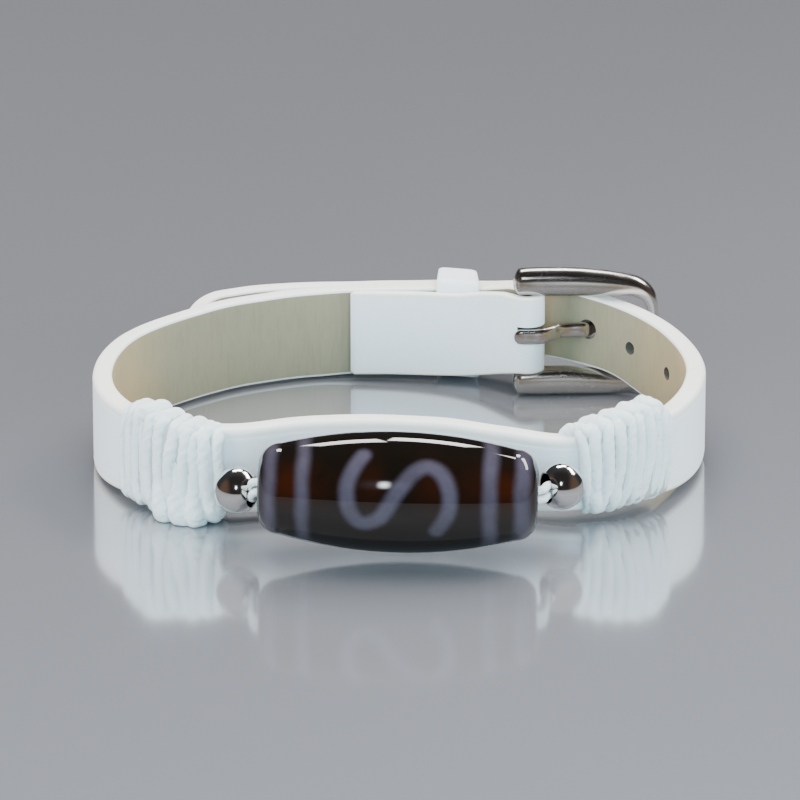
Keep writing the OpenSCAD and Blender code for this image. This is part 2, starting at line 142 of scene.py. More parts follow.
TAIL_ROWS = [
    (29.6, 6.4, 0.75, 9.6, STRAP_T),
    (28.8, 10.3, 1.0, 9.75, STRAP_T),
    (27.3, 14.1, 1.35, 10.0, STRAP_T),
    (25.2, 17.8, 1.75, 10.2, STRAP_T),
    (22.6, 20.8, 2.6, 10.4, STRAP_T),
    (20.0, 23.1, 2.8, 10.5, STRAP_T),
    (15.6, 25.8, 2.9, 10.65, STRAP_T),
    (12.0, 27.15, 2.5, 10.4, STRAP_T),
    (8.9, 28.35, 1.9, 9.95, STRAP_T),
    (6.2, 29.08, 1.65, 9.75, STRAP_T),
    (4.0, 29.42, 1.55, 9.65, STRAP_T),
    (1.0, 29.63, 1.45, 9.55, STRAP_T),
    (-2.0, 29.68, 1.35, 9.5, STRAP_T),
    (-5.1, 29.6, 1.3, 9.45, STRAP_T),
    (-9.0, 29.45, 1.25, 9.4, STRAP_T),
    (-12.0, 29.1, 1.25, 9.4, STRAP_T),
    (-15.0, 28.45, 1.25, 9.4, STRAP_T),
]
# The rounded free end: start and end in plan, middle height, half height, sideways bow
TIP_START = np.array([-17.6, 27.5])
TIP_END = np.array([-21.9, 24.5])
TIP_MID_Z = 5.3
TIP_HALF_H = 4.05
TIP_BOW = 0.45

# Punched holes: x, y, z, direction seen from above, diameter
PUNCHED_HOLES = [
    (19.95, 23.1, 6.9, 50.0, 2.1),
    (24.33, 18.93, 6.25, 40.0, 1.35),
    (28.05, 12.4, 5.75, 22.0, 1.35),
]

# Keeper: middle, direction of the strap, clear depth and height, corner radii, taper to the back, thickness,
# half width, spacing of its sections
KEEPER_MID = np.array([6.0, 28.05, 5.7])
KEEPER_YAW = -13.5
KEEPER_CLEAR = (4.5, 9.06)
KEEPER_CORNERS = (1.2, 0.8, 0.9, 0.9)
KEEPER_TAPER = 0.14
KEEPER_T = 0.75
KEEPER_HALF_W = 2.15
KEEPER_SPACING = 0.22

# Buckle frame rows: x, z, half height in the frame's plane, half depth across it
FRAME_ROWS = [
    (11.62, 12.25, 0.35, 0.45),
    (11.95, 12.25, 1.05, 1.1),
    (12.8, 12.24, 1.42, 1.35),
    (17.0, 12.22, 1.46, 1.4),
    (20.0, 12.1, 1.35, 1.35),
    (22.5, 11.9, 1.18, 1.28),
    (24.3, 11.55, 1.05, 1.2),
    (25.5, 10.7, 0.86, 1.12),
    (26.02, 9.3, 0.66, 1.05),
    (26.1, 6.8, 0.62, 1.05),
    (26.02, 4.2, 0.66, 1.05),
    (25.5, 2.6, 0.86, 1.12),
    (24.3, 1.5, 1.02, 1.2),
    (22.5, 1.27, 1.18, 1.28),
    (20.0, 1.35, 1.33, 1.35),
    (17.0, 1.48, 1.46, 1.4),
    (12.8, 1.45, 1.42, 1.35),
    (11.95, 1.45, 1.05, 1.1),
    (11.62, 1.45, 0.35, 0.45),
]
FRAME_TURN = 2.3
FRAME_SPACING = 0.16
HINGE_BAR_Z = (1.4, 12.3)

# Prong rows: x, y, low, high, from the curl on the tab to the tip past the end bar
PRONG_ROWS = [
    (11.7, 20.0, 6.1, 7.7),
    (12.4, 19.95, 6.1, 7.7),
    (13.1, 19.97, 6.1, 7.7),
    (14.2, 20.02, 6.1, 7.7),
    (14.9, 20.25, 6.15, 7.7),
    (15.6, 20.85, 6.2, 7.7),
    (16.3, 21.65, 6.2, 7.7),
    (17.4, 22.05, 6.15, 7.7),
    (19.0, 22.3, 6.1, 7.7),
    (19.9, 23.0, 6.25, 7.55),
    (20.8, 24.1, 6.3, 7.5),
    (22.2, 24.5, 6.3, 7.5),
    (25.0, 24.3, 6.4, 7.4),
    (27.4, 24.15, 6.5, 7.3),
]
PRONG_T = 0.8
PRONG_SPACING = 0.06
PRONG_RING_R = 1.65
PRONG_H = 1.6
# The tab's slot for the prong: play in height, and reach in plan before and behind the hinge
SLOT_PLAY = 0.25
SLOT_BEFORE = (1.05, 4.0)
SLOT_BEHIND = (2.95, 0.2)

# Wrap rows: share of the wrap's length, reach outside, reach inside, lift over the top edge, height of
# the foot, shift of the inner side along the strap
WRAP_LEFT_X = (-26.6, -17.3)
WRAP_LEFT_ROWS = [
    (0.0, 0.85, 0.7, 0.6, 0.45, -1.6),
    (0.2, 1.2, 1.2, 1.5, 0.35, -1.3),
    (0.4, 1.4, 1.35, 1.4, 0.15, -0.7),
    (0.6, 2.0, 1.25, 0.95, 0.02, -0.3),
    (0.8, 2.1, 1.05, 0.4, 0.02, -0.1),
    (1.0, 1.4, 0.7, 0.0, 0.5, 0.0),
]
WRAP_RIGHT_X = (17.3, 25.7)
WRAP_RIGHT_ROWS = [
    (0.0, 0.95, 1.0, 0.9, 0.8, -1.5),
    (0.15, 1.2, 1.4, 1.3, 0.55, -1.0),
    (0.3, 1.3, 1.6, 1.5, 0.6, -0.4),
    (0.5, 1.3, 1.9, 1.75, 0.85, 0.6),
    (0.8, 1.15, 1.9, 2.0, 0.9, 1.7),
    (1.0, 0.9, 1.3, 0.9, 0.95, 2.2),
]
WRAP_TOP_ROUND = 0.55
WRAP_LEFT_FOOT_ROUND = 0.42
WRAP_RIGHT_FOOT_ROUND = 0.85
# Gap of a wrap's bundle off the leather, its depth below the strands, and the gap and easing at the floor
SNUG_GAP = 0.04
CORE_SINK = 0.48
FLOOR_GAP = 0.03
FLOOR_EASE = 0.12
# Plies of every cord, the length in which they wind once round it, and the bead strands' distance off
# their route
PLIES = 3
WRAP_LAY = 2.9
STRAND_LAY = 3.6
STRAND_LIFT = 0.485

# Turns of a wrap: its share of the wrap's length over the top edge, on the outer face and at the foot,
# its width against the strand's, and how far it is sunk below the wrap's reach
TURNS_LEFT = [
    (0.07, 0.055, 0.075, 0.95, 0.05),
    (0.155, 0.145, 0.17, 0.95, 0.05),
    (0.24, 0.23, 0.255, 1.0, 0.03),
    (0.39, 0.362, 0.39, 1.2, 0.0),
    (0.31, 0.30, 0.325, 0.8, 0.28),
    (0.51, 0.485, 0.53, 1.2, 0.0),
    (0.63, 0.607, 0.65, 1.25, 0.0),
    (0.73, 0.712, 0.745, 1.25, 0.0),
    (0.78, 0.80, 0.80, 1.1, 0.2),
    (0.86, 0.86, 0.84, 1.3, 0.28),
    (0.855, 0.885, 0.975, 1.3, -0.1),
    (0.955, 0.975, 0.95, 1.15, 0.0),
]
TURNS_RIGHT = [
    (0.03, 0.065, 0.10, 1.1, 0.0),
    (0.15, 0.16, 0.155, 1.25, 0.0),
    (0.27, 0.265, 0.23, 1.2, 0.0),
    (0.39, 0.375, 0.325, 1.2, 0.0),
    (0.50, 0.48, 0.42, 1.1, 0.04),
    (0.59, 0.575, 0.51, 1.1, 0.0),
    (0.70, 0.69, 0.61, 1.35, 0.0),
    (0.80, 0.80, 0.73, 1.05, 0.06),
    (0.88, 0.885, 0.82, 1.05, 0.0),
    (0.955, 0.96, 0.91, 0.9, 0.05),
]
# Knots laid over the turns: from share and angle, to share and angle, width, how far it stands proud. The
# angle goes round the strap: 0 the outer face, 90 the top edge, 180 the lining, 270 the foot
KNOTS_LEFT = [
    (0.06, 50, 0.24, 118, 1.3, 0.05),
    (0.22, 36, 0.44, 120, 1.75, 0.45),
    (0.40, 44, 0.60, 122, 1.6, 0.2),
    (0.64, 40, 0.82, 120, 1.7, 0.3),
    (0.80, 42, 0.97, 112, 1.6, 0.2),
    (0.48, 376, 0.58, 258, 2.0, 0.85),
    (0.64, 376, 0.73, 258, 2.0, 0.8),
    (0.77, 372, 0.82, 258, 2.1, 0.75),
    (0.90, 372, 0.92, 250, 2.1, 0.35),
    (0.16, 150, 0.36, 196, 1.5, 0.2),
    (0.42, 150, 0.62, 196, 1.5, 0.2),
    (0.68, 150, 0.88, 196, 1.5, 0.2),
]
KNOTS_RIGHT = [
    (0.16, 52, -0.06, 118, 1.5, 0.25),
    (0.34, 48, 0.10, 124, 1.7, 0.35),
    (0.54, 48, 0.30, 124, 1.7, 0.35),
    (0.76, 48, 0.50, 124, 1.7, 0.4),
    (0.94, 48, 0.72, 120, 1.6, 0.35),
    (0.13, 372, 0.19, 262, 2.0, 0.2),
    (0.31, 372, 0.36, 262, 1.9, 0.0),
    (0.56, 372, 0.58, 262, 1.9, -0.1),
    (0.05, 196, 0.25, 150, 1.5, 0.2),
    (0.34, 196, 0.54, 150, 1.5, 0.2),
    (0.62, 196, 0.84, 150, 1.5, 0.2),
]

# The bead's middle and slopes, its outline, and the two balls
BEAD_MID = np.array([-0.2, -24.75, 6.8])
BEAD_FALL = 1.3
BEAD_YAW = -1.2
BEAD_L = 27.2
BEAD_D = 11.8
BEAD_ARC_R = 46.0
BEAD_END_R = 2.2
BEAD_BORE_R = 1.15
BEAD_CHAMFER = 0.18
BEAD_SIDES = 288
BALL_LEFT = np.array([-15.9, -20.2, 5.25])
BALL_RIGHT = np.array([15.8, -19.6, 5.45])
BALL_YAW = 22.0
BALL_R = 2.3
BALL_BORE_R = 1.6
BALL_LIP = 0.16

# Bands round the bead, from and to along its axis
BEAD_BANDS = [(-12.95, -11.85), (-9.75, -8.6), (8.3, 9.6), (11.4, 12.85)]
# The wave's middle line: place along the axis, degrees up from the front
BEAD_WAVE = [
    (-3.4, 57.0),
    (-4.2, 43.3),
    (-4.85, 26.0),
    (-4.75, 8.0),
    (-4.15, -6.0),
    (-3.15, -12.0),
    (-1.8, -6.5),
    (-0.9, 5.2),
    (-0.25, 15.9),
    (0.4, 25.4),
    (1.42, 38.2),
    (2.74, 46.0),
    (4.1, 40.5),
    (4.95, 25.0),
    (5.08, 9.2),
    (4.75, -4.0),
    (3.9, -19.0),
]

# Route of the pair of strands through ball, bead and ball
CORD_ROUTE = [
    (-17.75, -15.9, 4.5),
    (-17.4, -17.2, 4.75),
    (-17.05, -18.45, 5.0),
    (-16.55, -19.4, 5.1),
    (-15.9, -20.2, 5.2),
    (-15.05, -20.78, 5.32),
    (-14.42, -21.42, 5.43),
    (-14.37, -22.5, 5.9),
    (-14.38, -23.4, 6.52),
    (-14.05, -24.12, 7.07),
    (-13.3, -24.35, 7.12),
    (-12.0, -24.5, 7.06),
    (-6.0, -24.63, 6.93),
    (0.0, -24.76, 6.79),
    (6.0, -24.88, 6.66),
    (11.6, -25.0, 6.53),
    (12.8, -24.95, 6.5),
    (13.6, -24.7, 6.45),
    (14.0, -24.1, 6.35),
    (14.13, -23.25, 6.15),
    (14.2, -22.2, 5.85),
    (14.42, -21.15, 5.6),
    (14.98, -20.3, 5.45),
    (15.8, -19.6, 5.4),
    (16.45, -18.75, 5.3),
    (16.9, -17.9, 5.1),
    (17.15, -16.9, 4.8),
    (17.55, -15.8, 4.5),
]

# Painted shade: warm on the lining's bends and under the buckle's bar, dark in its holes and a ball's bore
BEND_SHADE_BROWN = (0.46, 0.33, 0.16)
BUCKLE_SHADE_BROWN = (0.42, 0.27, 0.15)
HOLE_SHADE = (0.135, 0.115, 0.095)
BORE_SHADE = (0.02, 0.02, 0.02)

# Lamps seen in the polish: azimuth from straight behind, elevation, half width and half height in degrees
LAMP_PATCHES = [(-8.9, 45.0, 5.1, 5.6), (7.1, 40.0, 5.5, 5.8), (48.0, 45.0, 16.0, 5.6)]
LAMP_TINT = (1.0, 0.98, 0.95)
LAMP_POWER = 20.0
# The spot in front and its halo: azimuth and elevation, half sizes in degrees, and colours
SPOT_AT = (-174.9, 33.0)
SPOT_SIZE = (1.25, 5.2)
SPOT_TINT = (34.0, 36.0, 38.0)
HALO_SIZE = (6.0, 9.0)
HALO_TINT = (0.60, 0.66, 0.78)
# Colours of the soft lamps, and half the width of the floor
KEY_TINT = (1.0, 0.97, 0.93)
FRONT_TINT = (0.40, 0.84, 1.0)
SIDE_TINT = (0.95, 0.99, 1.0)
FLOOR_HALF = 900

# Camera: distance, elevation, focal length, width of the sensor, and the point it looks at
CAMERA_AWAY = 750.0
CAMERA_UP = 20.0
CAMERA_LENS = 327.4
CAMERA_SENSOR = 36.0
LOOK_AT = np.array([0.05, 19.55, 0.0])


def length_setting(name, description, millimetres):
    """A length in the panel, given in millimetres."""
    return FloatProperty(
        name=name, description=description, default=millimetres * MM, subtype="DISTANCE", unit="LENGTH",
    )


def colour_setting(name, description, default):
    """A colour in the panel."""
    return FloatVectorProperty(name=name, description=description, default=default, subtype="COLOR")


def number_setting(name, description, default):
    """A plain number in the panel."""
    return FloatProperty(name=name, description=description, default=default)


class LeatherSettings(bpy.types.PropertyGroup):
    """Sizes and colours of the strap and its keeper"""

    edge_round: length_setting("Edge rounding", "Rounding of the painted edge on the outer side", 0.55)
    crease_depth: length_setting("Crease depth", "Depth of the line between edge paint and outer face", 0.035)
    face_colour: colour_setting("Face colour", "Outer face of the leather", (0.79, 0.83, 0.88))
    edge_colour: colour_setting("Edge colour", "Painted edge of the leather", (0.86, 0.83, 0.80))
    lining_colour: colour_setting("Lining colour", "Inner side of the leather", (0.268, 0.236, 0.158))


class CordSettings(bpy.types.PropertyGroup):
    """Sizes and colours of the wraps and of the cord through the bead"""

    strand_width: length_setting("Strand width", "Diameter of one strand of the wraps", 1.06)
    bead_strand_width: length_setting("Bead strand width", "Diameter of one strand through the bead", 0.82)
    colour: colour_setting("Cord colour", "Waxed white cord", (0.86, 0.92, 0.94))
    # This grey, darker, also paints the shade on the bundle under the turns
    dust_and_shade_colour: colour_setting("Hollow colour", "Cord where dust settles in it", (0.55, 0.58, 0.60))


class BeadSettings(bpy.types.PropertyGroup):
    """Colours and stroke of the bead"""

    stroke: length_setting("Stroke width", "Width of the wave stroke", 1.4)
    body_colour: colour_setting("Body colour", "Dark agate", (0.0036, 0.0027, 0.0019))
    glow_colour: colour_setting("Glow colour", "Agate where light comes through", (0.019, 0.0042, 0.0014))
    band_colour: colour_setting("Band colour", "Etched bands and wave", (0.052, 0.044, 0.062))


class MetalSettings(bpy.types.PropertyGroup):
    """Colours of the metal"""

    steel_colour: colour_setting("Steel colour", "Polished buckle", (0.57, 0.55, 0.53))
    silver_colour: colour_setting("Silver colour", "Polished balls", (0.80, 0.79, 0.78))


class StudioSettings(bpy.types.PropertyGroup):
    """Floor and light of the studio"""

    floor_colour: colour_setting("Floor colour", "Plain pale floor", (0.176, 0.177, 0.196))
    key_power: number_setting("Key power", "Power of the soft light overhead, watts", 3.25)
    front_power: number_setting("Front power", "Power of the soft front light, watts", 2.55)
    side_power: number_setting("Side power", "Power of each soft side light, watts", 2.7)
    surround: number_setting("Surround", "Brightness of the room", 1.25)


def curve_through(rows, steps=16):
    """Cubic curve through rows of numbers. Between rows b and c, with a and d beside them, each column
    is half of 2b + t(c - a) + t^2(2a - 5b + 4c - d) + t^3(3b - a - 3c + d)."""
    rows = np.asarray(rows, float)
    i = np.arange(len(rows) - 1)
    a, b = rows[np.maximum(i - 1, 0)][:, None], rows[i][:, None]
    c, d = rows[i + 1][:, None], rows[np.minimum(i + 2, len(rows) - 1)][:, None]
    t = (np.arange(steps) / steps)[None, :, None]
    curve = 2 * b + t * (c - a) + t**2 * (2 * a - 5 * b + 4 * c - d) + t**3 * (3 * b - a - 3 * c + d)
    return np.concatenate([0.5 * curve.reshape(-1, rows.shape[1]), rows[-1:]])


def lengths(points):
    """Arc length from the first point to each point of a polyline."""
    steps = np.linalg.norm(np.diff(points, axis=0), axis=1)
    return np.concatenate([[0.0], np.cumsum(steps)])


def columns_at(stops, along, rows):
    """Each column of rows that lie at places along a line, read at stops between them."""
    return np.stack([np.interp(stops, along, column) for column in rows.T], axis=-1)


def evenly(rows, spacing, places=2):
    """Rows taken again at equal steps of arc length, measured in their first columns."""
    along = lengths(rows[:, :places])
    count = max(int(round(along[-1] / spacing)), 2)
    return columns_at(np.linspace(0.0, along[-1], count + 1), along, rows)


def unit(vectors):
    """Vectors divided by their lengths."""
    return vectors / np.linalg.norm(vectors, axis=-1, keepdims=True)


def tangents(points, looped=False):
    """Unit directions along a polyline, by central differences."""
    if looped:
        return unit(np.roll(points, -1, axis=0) - np.roll(points, 1, axis=0))
    return unit(np.gradient(points, axis=0))


def smoothstep(low, high, value):
    """0 below low, 1 above high, and 3s^2 - 2s^3 between them."""
    s = np.clip((value - low) / (high - low), 0.0, 1.0)
    return s * s * (3.0 - 2.0 * s)


def quarter_ellipse(distance, reach):
    """Rises from 0 to 1 as sqrt(1 - (1 - d)^2), where d is the distance over the reach, and stays 1
    beyond it."""
    return np.sqrt(np.clip(1 - (1 - np.minimum(distance / reach, 1)) ** 2, 0, 1))


def signed_power(value, power):
    """The power of a number's size, with the number's sign."""
    return np.sign(value) * np.abs(value) ** power


def round_angles(count):
    """So many equal steps round a full circle, from 0."""
    return np.arange(count) * 2 * math.pi / count


def uv_grid(u, v):
    """The surface map of a grid whose rows lie at u and whose columns lie at v."""
    return np.stack(np.meshgrid(u, v, indexing="ij"), axis=-1)


def grid_skin(points, uv=None, loop_rows=False, loop_columns=True):
    """A skin over points[row, column]: its vertices, the corners of its quads, and the place of each
    corner in the uv grid, which has one more row or column than the points where the grid closes on
    itself. A tube with open ends gets a flat cap on each."""
    n, m = points.shape[:2]
    if uv is None:
        uv = np.zeros((n + loop_rows, m + loop_columns, 2))
    rows, columns = np.arange(n if loop_rows else n - 1), np.arange(m if loop_columns else m - 1)
    i, j = np.meshgrid(rows, columns, indexing="ij")
    corner_i = np.stack([i, i, i + 1, i + 1], axis=-1).reshape(-1, 4)
    corner_j = np.stack([j, j + 1, j + 1, j], axis=-1).reshape(-1, 4)
    faces = list((corner_i % n) * m + corner_j % m)
    corner_uv = list(uv[corner_i, corner_j])
    if loop_columns and not loop_rows:
        for row, ring in ((0, np.arange(m)[::-1]), (n - 1, (n - 1) * m + np.arange(m))):
            faces.append(ring)
            corner_uv.append(np.repeat(uv[row, :1], m, axis=0))
    return points.reshape(-1, 3), faces, corner_uv


def volume_of(points, faces):
    """Six times the signed volume inside a closed skin: the sum over fans of triangles of a . (b x c)."""
    quads = np.array([f for f in faces if len(f) == 4])
    a, b, c, d = (points[quads[:, k]] for k in range(4))
    total = np.sum(a * np.cross(b, c)) + np.sum(a * np.cross(c, d))
    for face in faces:
        if len(face) != 4:
            ring = points[face]
            total += np.sum(ring[:1] * np.cross(ring[1:-1], ring[2:]))
    return total


def outward(skin):
    """The same skin with its faces turned over where they enclose a negative volume."""
    points, faces, corner_uv = skin
    if volume_of(points - points.mean(axis=0), faces) >= 0.0:
        return skin
    return points, [f[::-1] for f in faces], [u[::-1] for u in corner_uv]


def joined(skins):
    """Several skins as one."""
    points, faces, corner_uv, start = [], [], [], 0
    for skin in skins:
        points.append(skin[0])
        faces.extend(face + start for face in skin[1])
        corner_uv.extend(skin[2])
        start += len(skin[0])
    return np.concatenate(points), faces, corner_uv


def mesh_object(name, skin):
    """An object at the origin whose mesh is a skin in millimetres, moved to its place and scaled to
    metres."""
    points, faces, corner_uv = skin
    mesh = bpy.data.meshes.new(name)
    counts = np.array([len(f) for f in faces])
    mesh.vertices.add(len(points))
    mesh.vertices.foreach_set("co", ((points + PLACE) * MM).ravel())
    mesh.loops.add(int(counts.sum()))
    mesh.loops.foreach_set("vertex_index", np.concatenate(faces).astype(np.int32))
    mesh.polygons.add(len(faces))
    mesh.polygons.foreach_set("loop_start", (np.cumsum(counts) - counts).astype(np.int32))
    layer = mesh.uv_layers.new(name="surface")
    layer.data.foreach_set("uv", np.concatenate(corner_uv).astype(np.float32).ravel())
    mesh.update(calc_edges=True)
    mesh.validate()
    made = bpy.data.objects.new(name, mesh)
    bpy.context.scene.collection.objects.link(made)
    shade(mesh)
    return made


def shade(mesh):
    """Smooth shading, broken where two faces meet at more than the smooth angle."""
    mesh.shade_smooth()
    mesh.set_sharp_from_angle(angle=math.radians(SMOOTH_ANGLE))


def cut(target, cutters):
    """Takes the cutters out of the target and makes it a plain mesh again."""
    for cutter in cutters:
        step = target.modifiers.new(cutter.name, "BOOLEAN")
        step.operation = "DIFFERENCE"
        step.solver = "EXACT"
        step.object = cutter
    graph = bpy.context.evaluated_depsgraph_get()
    fresh = bpy.data.meshes.new_from_object(target.evaluated_get(graph))
    target.modifiers.clear()
    target.data = fresh
    shade(fresh)
    for cutter in cutters:
        bpy.data.objects.remove(cutter)


def finish_piece(piece, material, slot, *nodes):
    """Gives a piece its material by name and its body, and hides the imported parts of the nodes it stands
    for; the slot is not used.
    """
    piece.data.materials.clear()
    piece.data.materials.append(bpy.data.materials[material])
    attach(piece, "root")
    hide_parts(*nodes)


def tip_rows():
    """Rows of the free end: the height falls as a quarter ellipse, h sqrt(1 - t^2), along a bowed line."""
    t = np.array([0.0, 0.2, 0.35, 0.5, 0.62, 0.73, 0.82, 0.89, 0.94, 0.975, 0.993, 0.999])
    bow = TIP_BOW * np.sin(math.pi * t)
    half = TIP_HALF_H * np.sqrt(1.0 - t * t)
    x, y = (TIP_START + t[:, None] * (TIP_END - TIP_START)).T
    return np.stack([x - bow, y + bow, TIP_MID_Z - half, TIP_MID_Z + half, 0 * t + STRAP_T], axis=1)


def strap_rows():
    """The whole strap's rows in even steps, from the tab round the hinge and the wrist to the free end."""
    turn = np.radians(np.arange(-90.0, 91.0, 7.5) - FOLD_LEAN)
    x, y = HINGE[0] + FOLD_R * np.cos(turn), HINGE[1] + FOLD_R * np.sin(turn)
    fold = np.stack([x, y, 0 * turn + FOLD_Z[0], 0 * turn + FOLD_Z[1], 0 * turn + TAB_T], axis=1)
    around = curve_through(np.concatenate([LOOP_ROWS, TAIL_ROWS, tip_rows()]))
    return evenly(np.concatenate([curve_through(TAB_ROWS), fold, around]), STRAP_SPACING)


def edge_section(share, half_t, q_out, q_in):
    """Offset and depth over one edge of the strap: a quarter circle of radius q_out, a flat and a quarter
    circle of radius q_in, which share passes over from the outer side to the lining."""
    first, last = share < EDGE_BEND, share > 1 - EDGE_BEND
    a = np.clip(share / EDGE_BEND, 0, 1) * math.pi / 2
    b = np.clip((share - (1 - EDGE_BEND)) / EDGE_BEND, 0, 1) * math.pi / 2
    flat = half_t - q_out - np.clip((share - EDGE_BEND) / EDGE_FLAT, 0, 1) * (2 * half_t - q_out - q_in)
    bent = [half_t - q_out + q_out * np.cos(a), -half_t + q_in - q_in * np.sin(b)]
    x = np.select([first, last], bent, flat)
    depth = np.select([first, last], [q_out * (1 - np.sin(a)), q_in * (1 - np.cos(b))], 0.0)
    return x, depth


def strap_section(half_t, low, high, round_out, round_in, crease, columns):
    """Sections of the strap as offsets to the right of travel and heights, one row each. A share v goes
    up the outer face (0 to 0.4), over the top edge (to 0.5), down the lining (to 0.9) and back under the
    bottom edge (to 1): straight sides joined by quarter circles, with a shallow crease beside each
    edge."""
    v = columns[None, :]
    half_t, low, high = half_t[:, None], low[:, None], high[:, None]
    q_out = np.minimum(round_out, np.minimum(half_t * 0.56, (high - low) * 0.3))
    q_in = np.minimum(round_in, np.minimum(half_t * 0.9, (high - low) * 0.3))
    z_face = low + q_out + np.clip(v / SIDE_SHARE, 0, 1) * (high - low - 2 * q_out)
    upper = np.exp(-(((high - CREASE_DOWN - z_face) / CREASE_W) ** 2))
    lower = np.exp(-(((z_face - low - CREASE_UP) / CREASE_W) ** 2))
    x_face = half_t - crease * (upper + lower)
    x_top, d_top = edge_section(np.clip((v - SIDE_SHARE) / EDGE_SHARE, 0, 1), half_t, q_out, q_in)
    z_down = high - q_in - np.clip((v - TOP_END) / SIDE_SHARE, 0, 1) * (high - low - 2 * q_in)
    x_under, d_under = edge_section(1 - np.clip((v - LINING_END) / EDGE_SHARE, 0, 1), half_t, q_out, q_in)
    parts = [v <= SIDE_SHARE, v < TOP_END, v <= LINING_END]
    x = np.select(parts, [x_face, x_top, -half_t + 0 * v], x_under)
    z = np.select(parts, [z_face, high - d_top, z_down], low + d_under)
    return x, z


def section_columns():
    """Shares v round a strap section, close together at the creases and the rounded edges."""
    face = np.array([
        0, 0.02, 0.045, 0.06, 0.07, 0.08, 0.09, 0.105, 0.14, 0.2, 0.3, 0.4, 0.5, 0.6, 0.7, 0.8, 0.86, 0.895,
        0.91, 0.92, 0.93, 0.94, 0.955, 0.98,
    ])
    edge, lining = np.linspace(0, 1, 17)[:-1], np.linspace(0, 1, 15)[:-1]
    return np.concatenate([
        SIDE_SHARE * face, SIDE_SHARE + EDGE_SHARE * edge, TOP_END + SIDE_SHARE * lining,
        LINING_END + EDGE_SHARE * edge,
    ])


def stand(rows, x, z):
    """Sections standing across a path: row + x to the right of travel, height z."""
    along = tangents(rows[:, :2])
    right = np.stack([along[:, 1], -along[:, 0]], axis=1)
    plan = rows[:, None, :2] + x[..., None] * right[:, None, :]
    return np.concatenate([plan, z[..., None]], axis=-1)


def strap_skin(settings):
    """The strap: rounded sections carried along its middle, drawn in to a half round at both ends, with a
    top edge that wavers by 0.02 sin(s / 2.3 + 1.3) + 0.01 sin(s / 1.1) where the leather is full."""
    rows = strap_rows()
    s = lengths(rows[:, :2])
    to_end = np.minimum(s, s[-1] - s)
    r = STRAP_END_R
    inset = r - np.sqrt(np.maximum(r * r - np.maximum(r - to_end, 0.0) ** 2, 0.0))
    low = rows[:, 2] + inset
    high = np.maximum(rows[:, 3] - inset, low + 0.02)
    full = smoothstep(1.2, 1.9, rows[:, 4])
    columns = section_columns()
    x, z = strap_section(
        rows[:, 4] / 2 - inset, low, high, settings.edge_round / MM, LINING_ROUND,
        settings.crease_depth / MM * full[:, None], columns,
    )
    waver = (0.02 * np.sin(s / 2.3 + 1.3) + 0.01 * np.sin(s / 1.1)) * full
    rising, falling = smoothstep(0.3, TOP_END, columns), 1 - smoothstep(TOP_END, 0.7, columns)
    z = z + waver[:, None] * rising * falling
    return outward(grid_skin(stand(rows, x, z), uv_grid(s * MM, np.append(columns, 1.0))))


def rod_skin(centre, direction, radius, length, v=V_LINING):
    """A round rod: two rings r(cos a, sin a) square to its direction, with flat ends."""
    direction = unit(np.asarray(direction, float))
    side = unit(np.cross(direction, [0.3, 0.5, 0.81]))
    rise = np.cross(side, direction)
    a = round_angles(ROD_SIDES)
    ring = radius * (np.cos(a)[:, None] * side + np.sin(a)[:, None] * rise)
    ends = np.array([-0.5, 0.5])[:, None, None] * length * direction
    return outward(grid_skin(np.asarray(centre) + ring[None] + ends, np.full((2, ROD_SIDES + 1, 2), v)))


def box_skin(low, high):
    """A box as a rod of four corners."""
    x, y = np.array([low[0], high[0], high[0], low[0]]), np.array([low[1], low[1], high[1], high[1]])
    points = np.stack([np.stack([x, y, 0 * x + z], axis=1) for z in (low[2], high[2])])
    return outward(grid_skin(points, np.full((2, 5, 2), V_LINING)))


def keeper_skin():
    """The keeper: a flat band with rounded edges carried round a rounded rectangle, narrower at the back."""
    half_d, half_h = (KEEPER_CLEAR[0] + KEEPER_T) / 2, (KEEPER_CLEAR[1] + KEEPER_T) / 2
    corners = []
    for k, r in enumerate(KEEPER_CORNERS):
        a = np.radians(90 * k + np.linspace(0, 90, 13))
        side, rise = (1 if k in (0, 3) else -1), (1 if k < 2 else -1)
        middle = (side * (half_d - r), rise * (half_h - r))
        corners.append(np.stack([middle[0] + r * np.cos(a), middle[1] + r * np.sin(a), a], axis=1))
    ring = np.concatenate(corners)
    ring = np.concatenate([ring, ring[:1] + [0, 0, 2 * math.pi]])
    ring = evenly(ring, KEEPER_SPACING)[:-1]
    depth, height, turn = ring.T
    a = round_angles(48)
    across, out = signed_power(np.cos(a), 0.28), signed_power(np.sin(a), 0.62)
    w = (KEEPER_HALF_W * (1 - KEEPER_TAPER * depth / KEEPER_CLEAR[0]))[:, None] * across
    t = (KEEPER_T / 2) * out * (1 - 0.15 * across**8)
    yaw = math.radians(KEEPER_YAW)
    reach = depth[:, None] + t * np.cos(turn)[:, None]
    x, y = w * math.cos(yaw), w * math.sin(yaw) + reach / math.cos(yaw)
    z = height[:, None] + t * np.sin(turn)[:, None]
    points = np.stack([x, y, z], axis=-1) + KEEPER_MID
    v = np.where(np.append(out, out[0]) >= -0.3, V_FACE, V_LINING)
    s = lengths(ring[:, :2])
    return outward(grid_skin(points, uv_grid(np.append(s, s[-1] + KEEPER_SPACING) * MM, v), loop_rows=True))


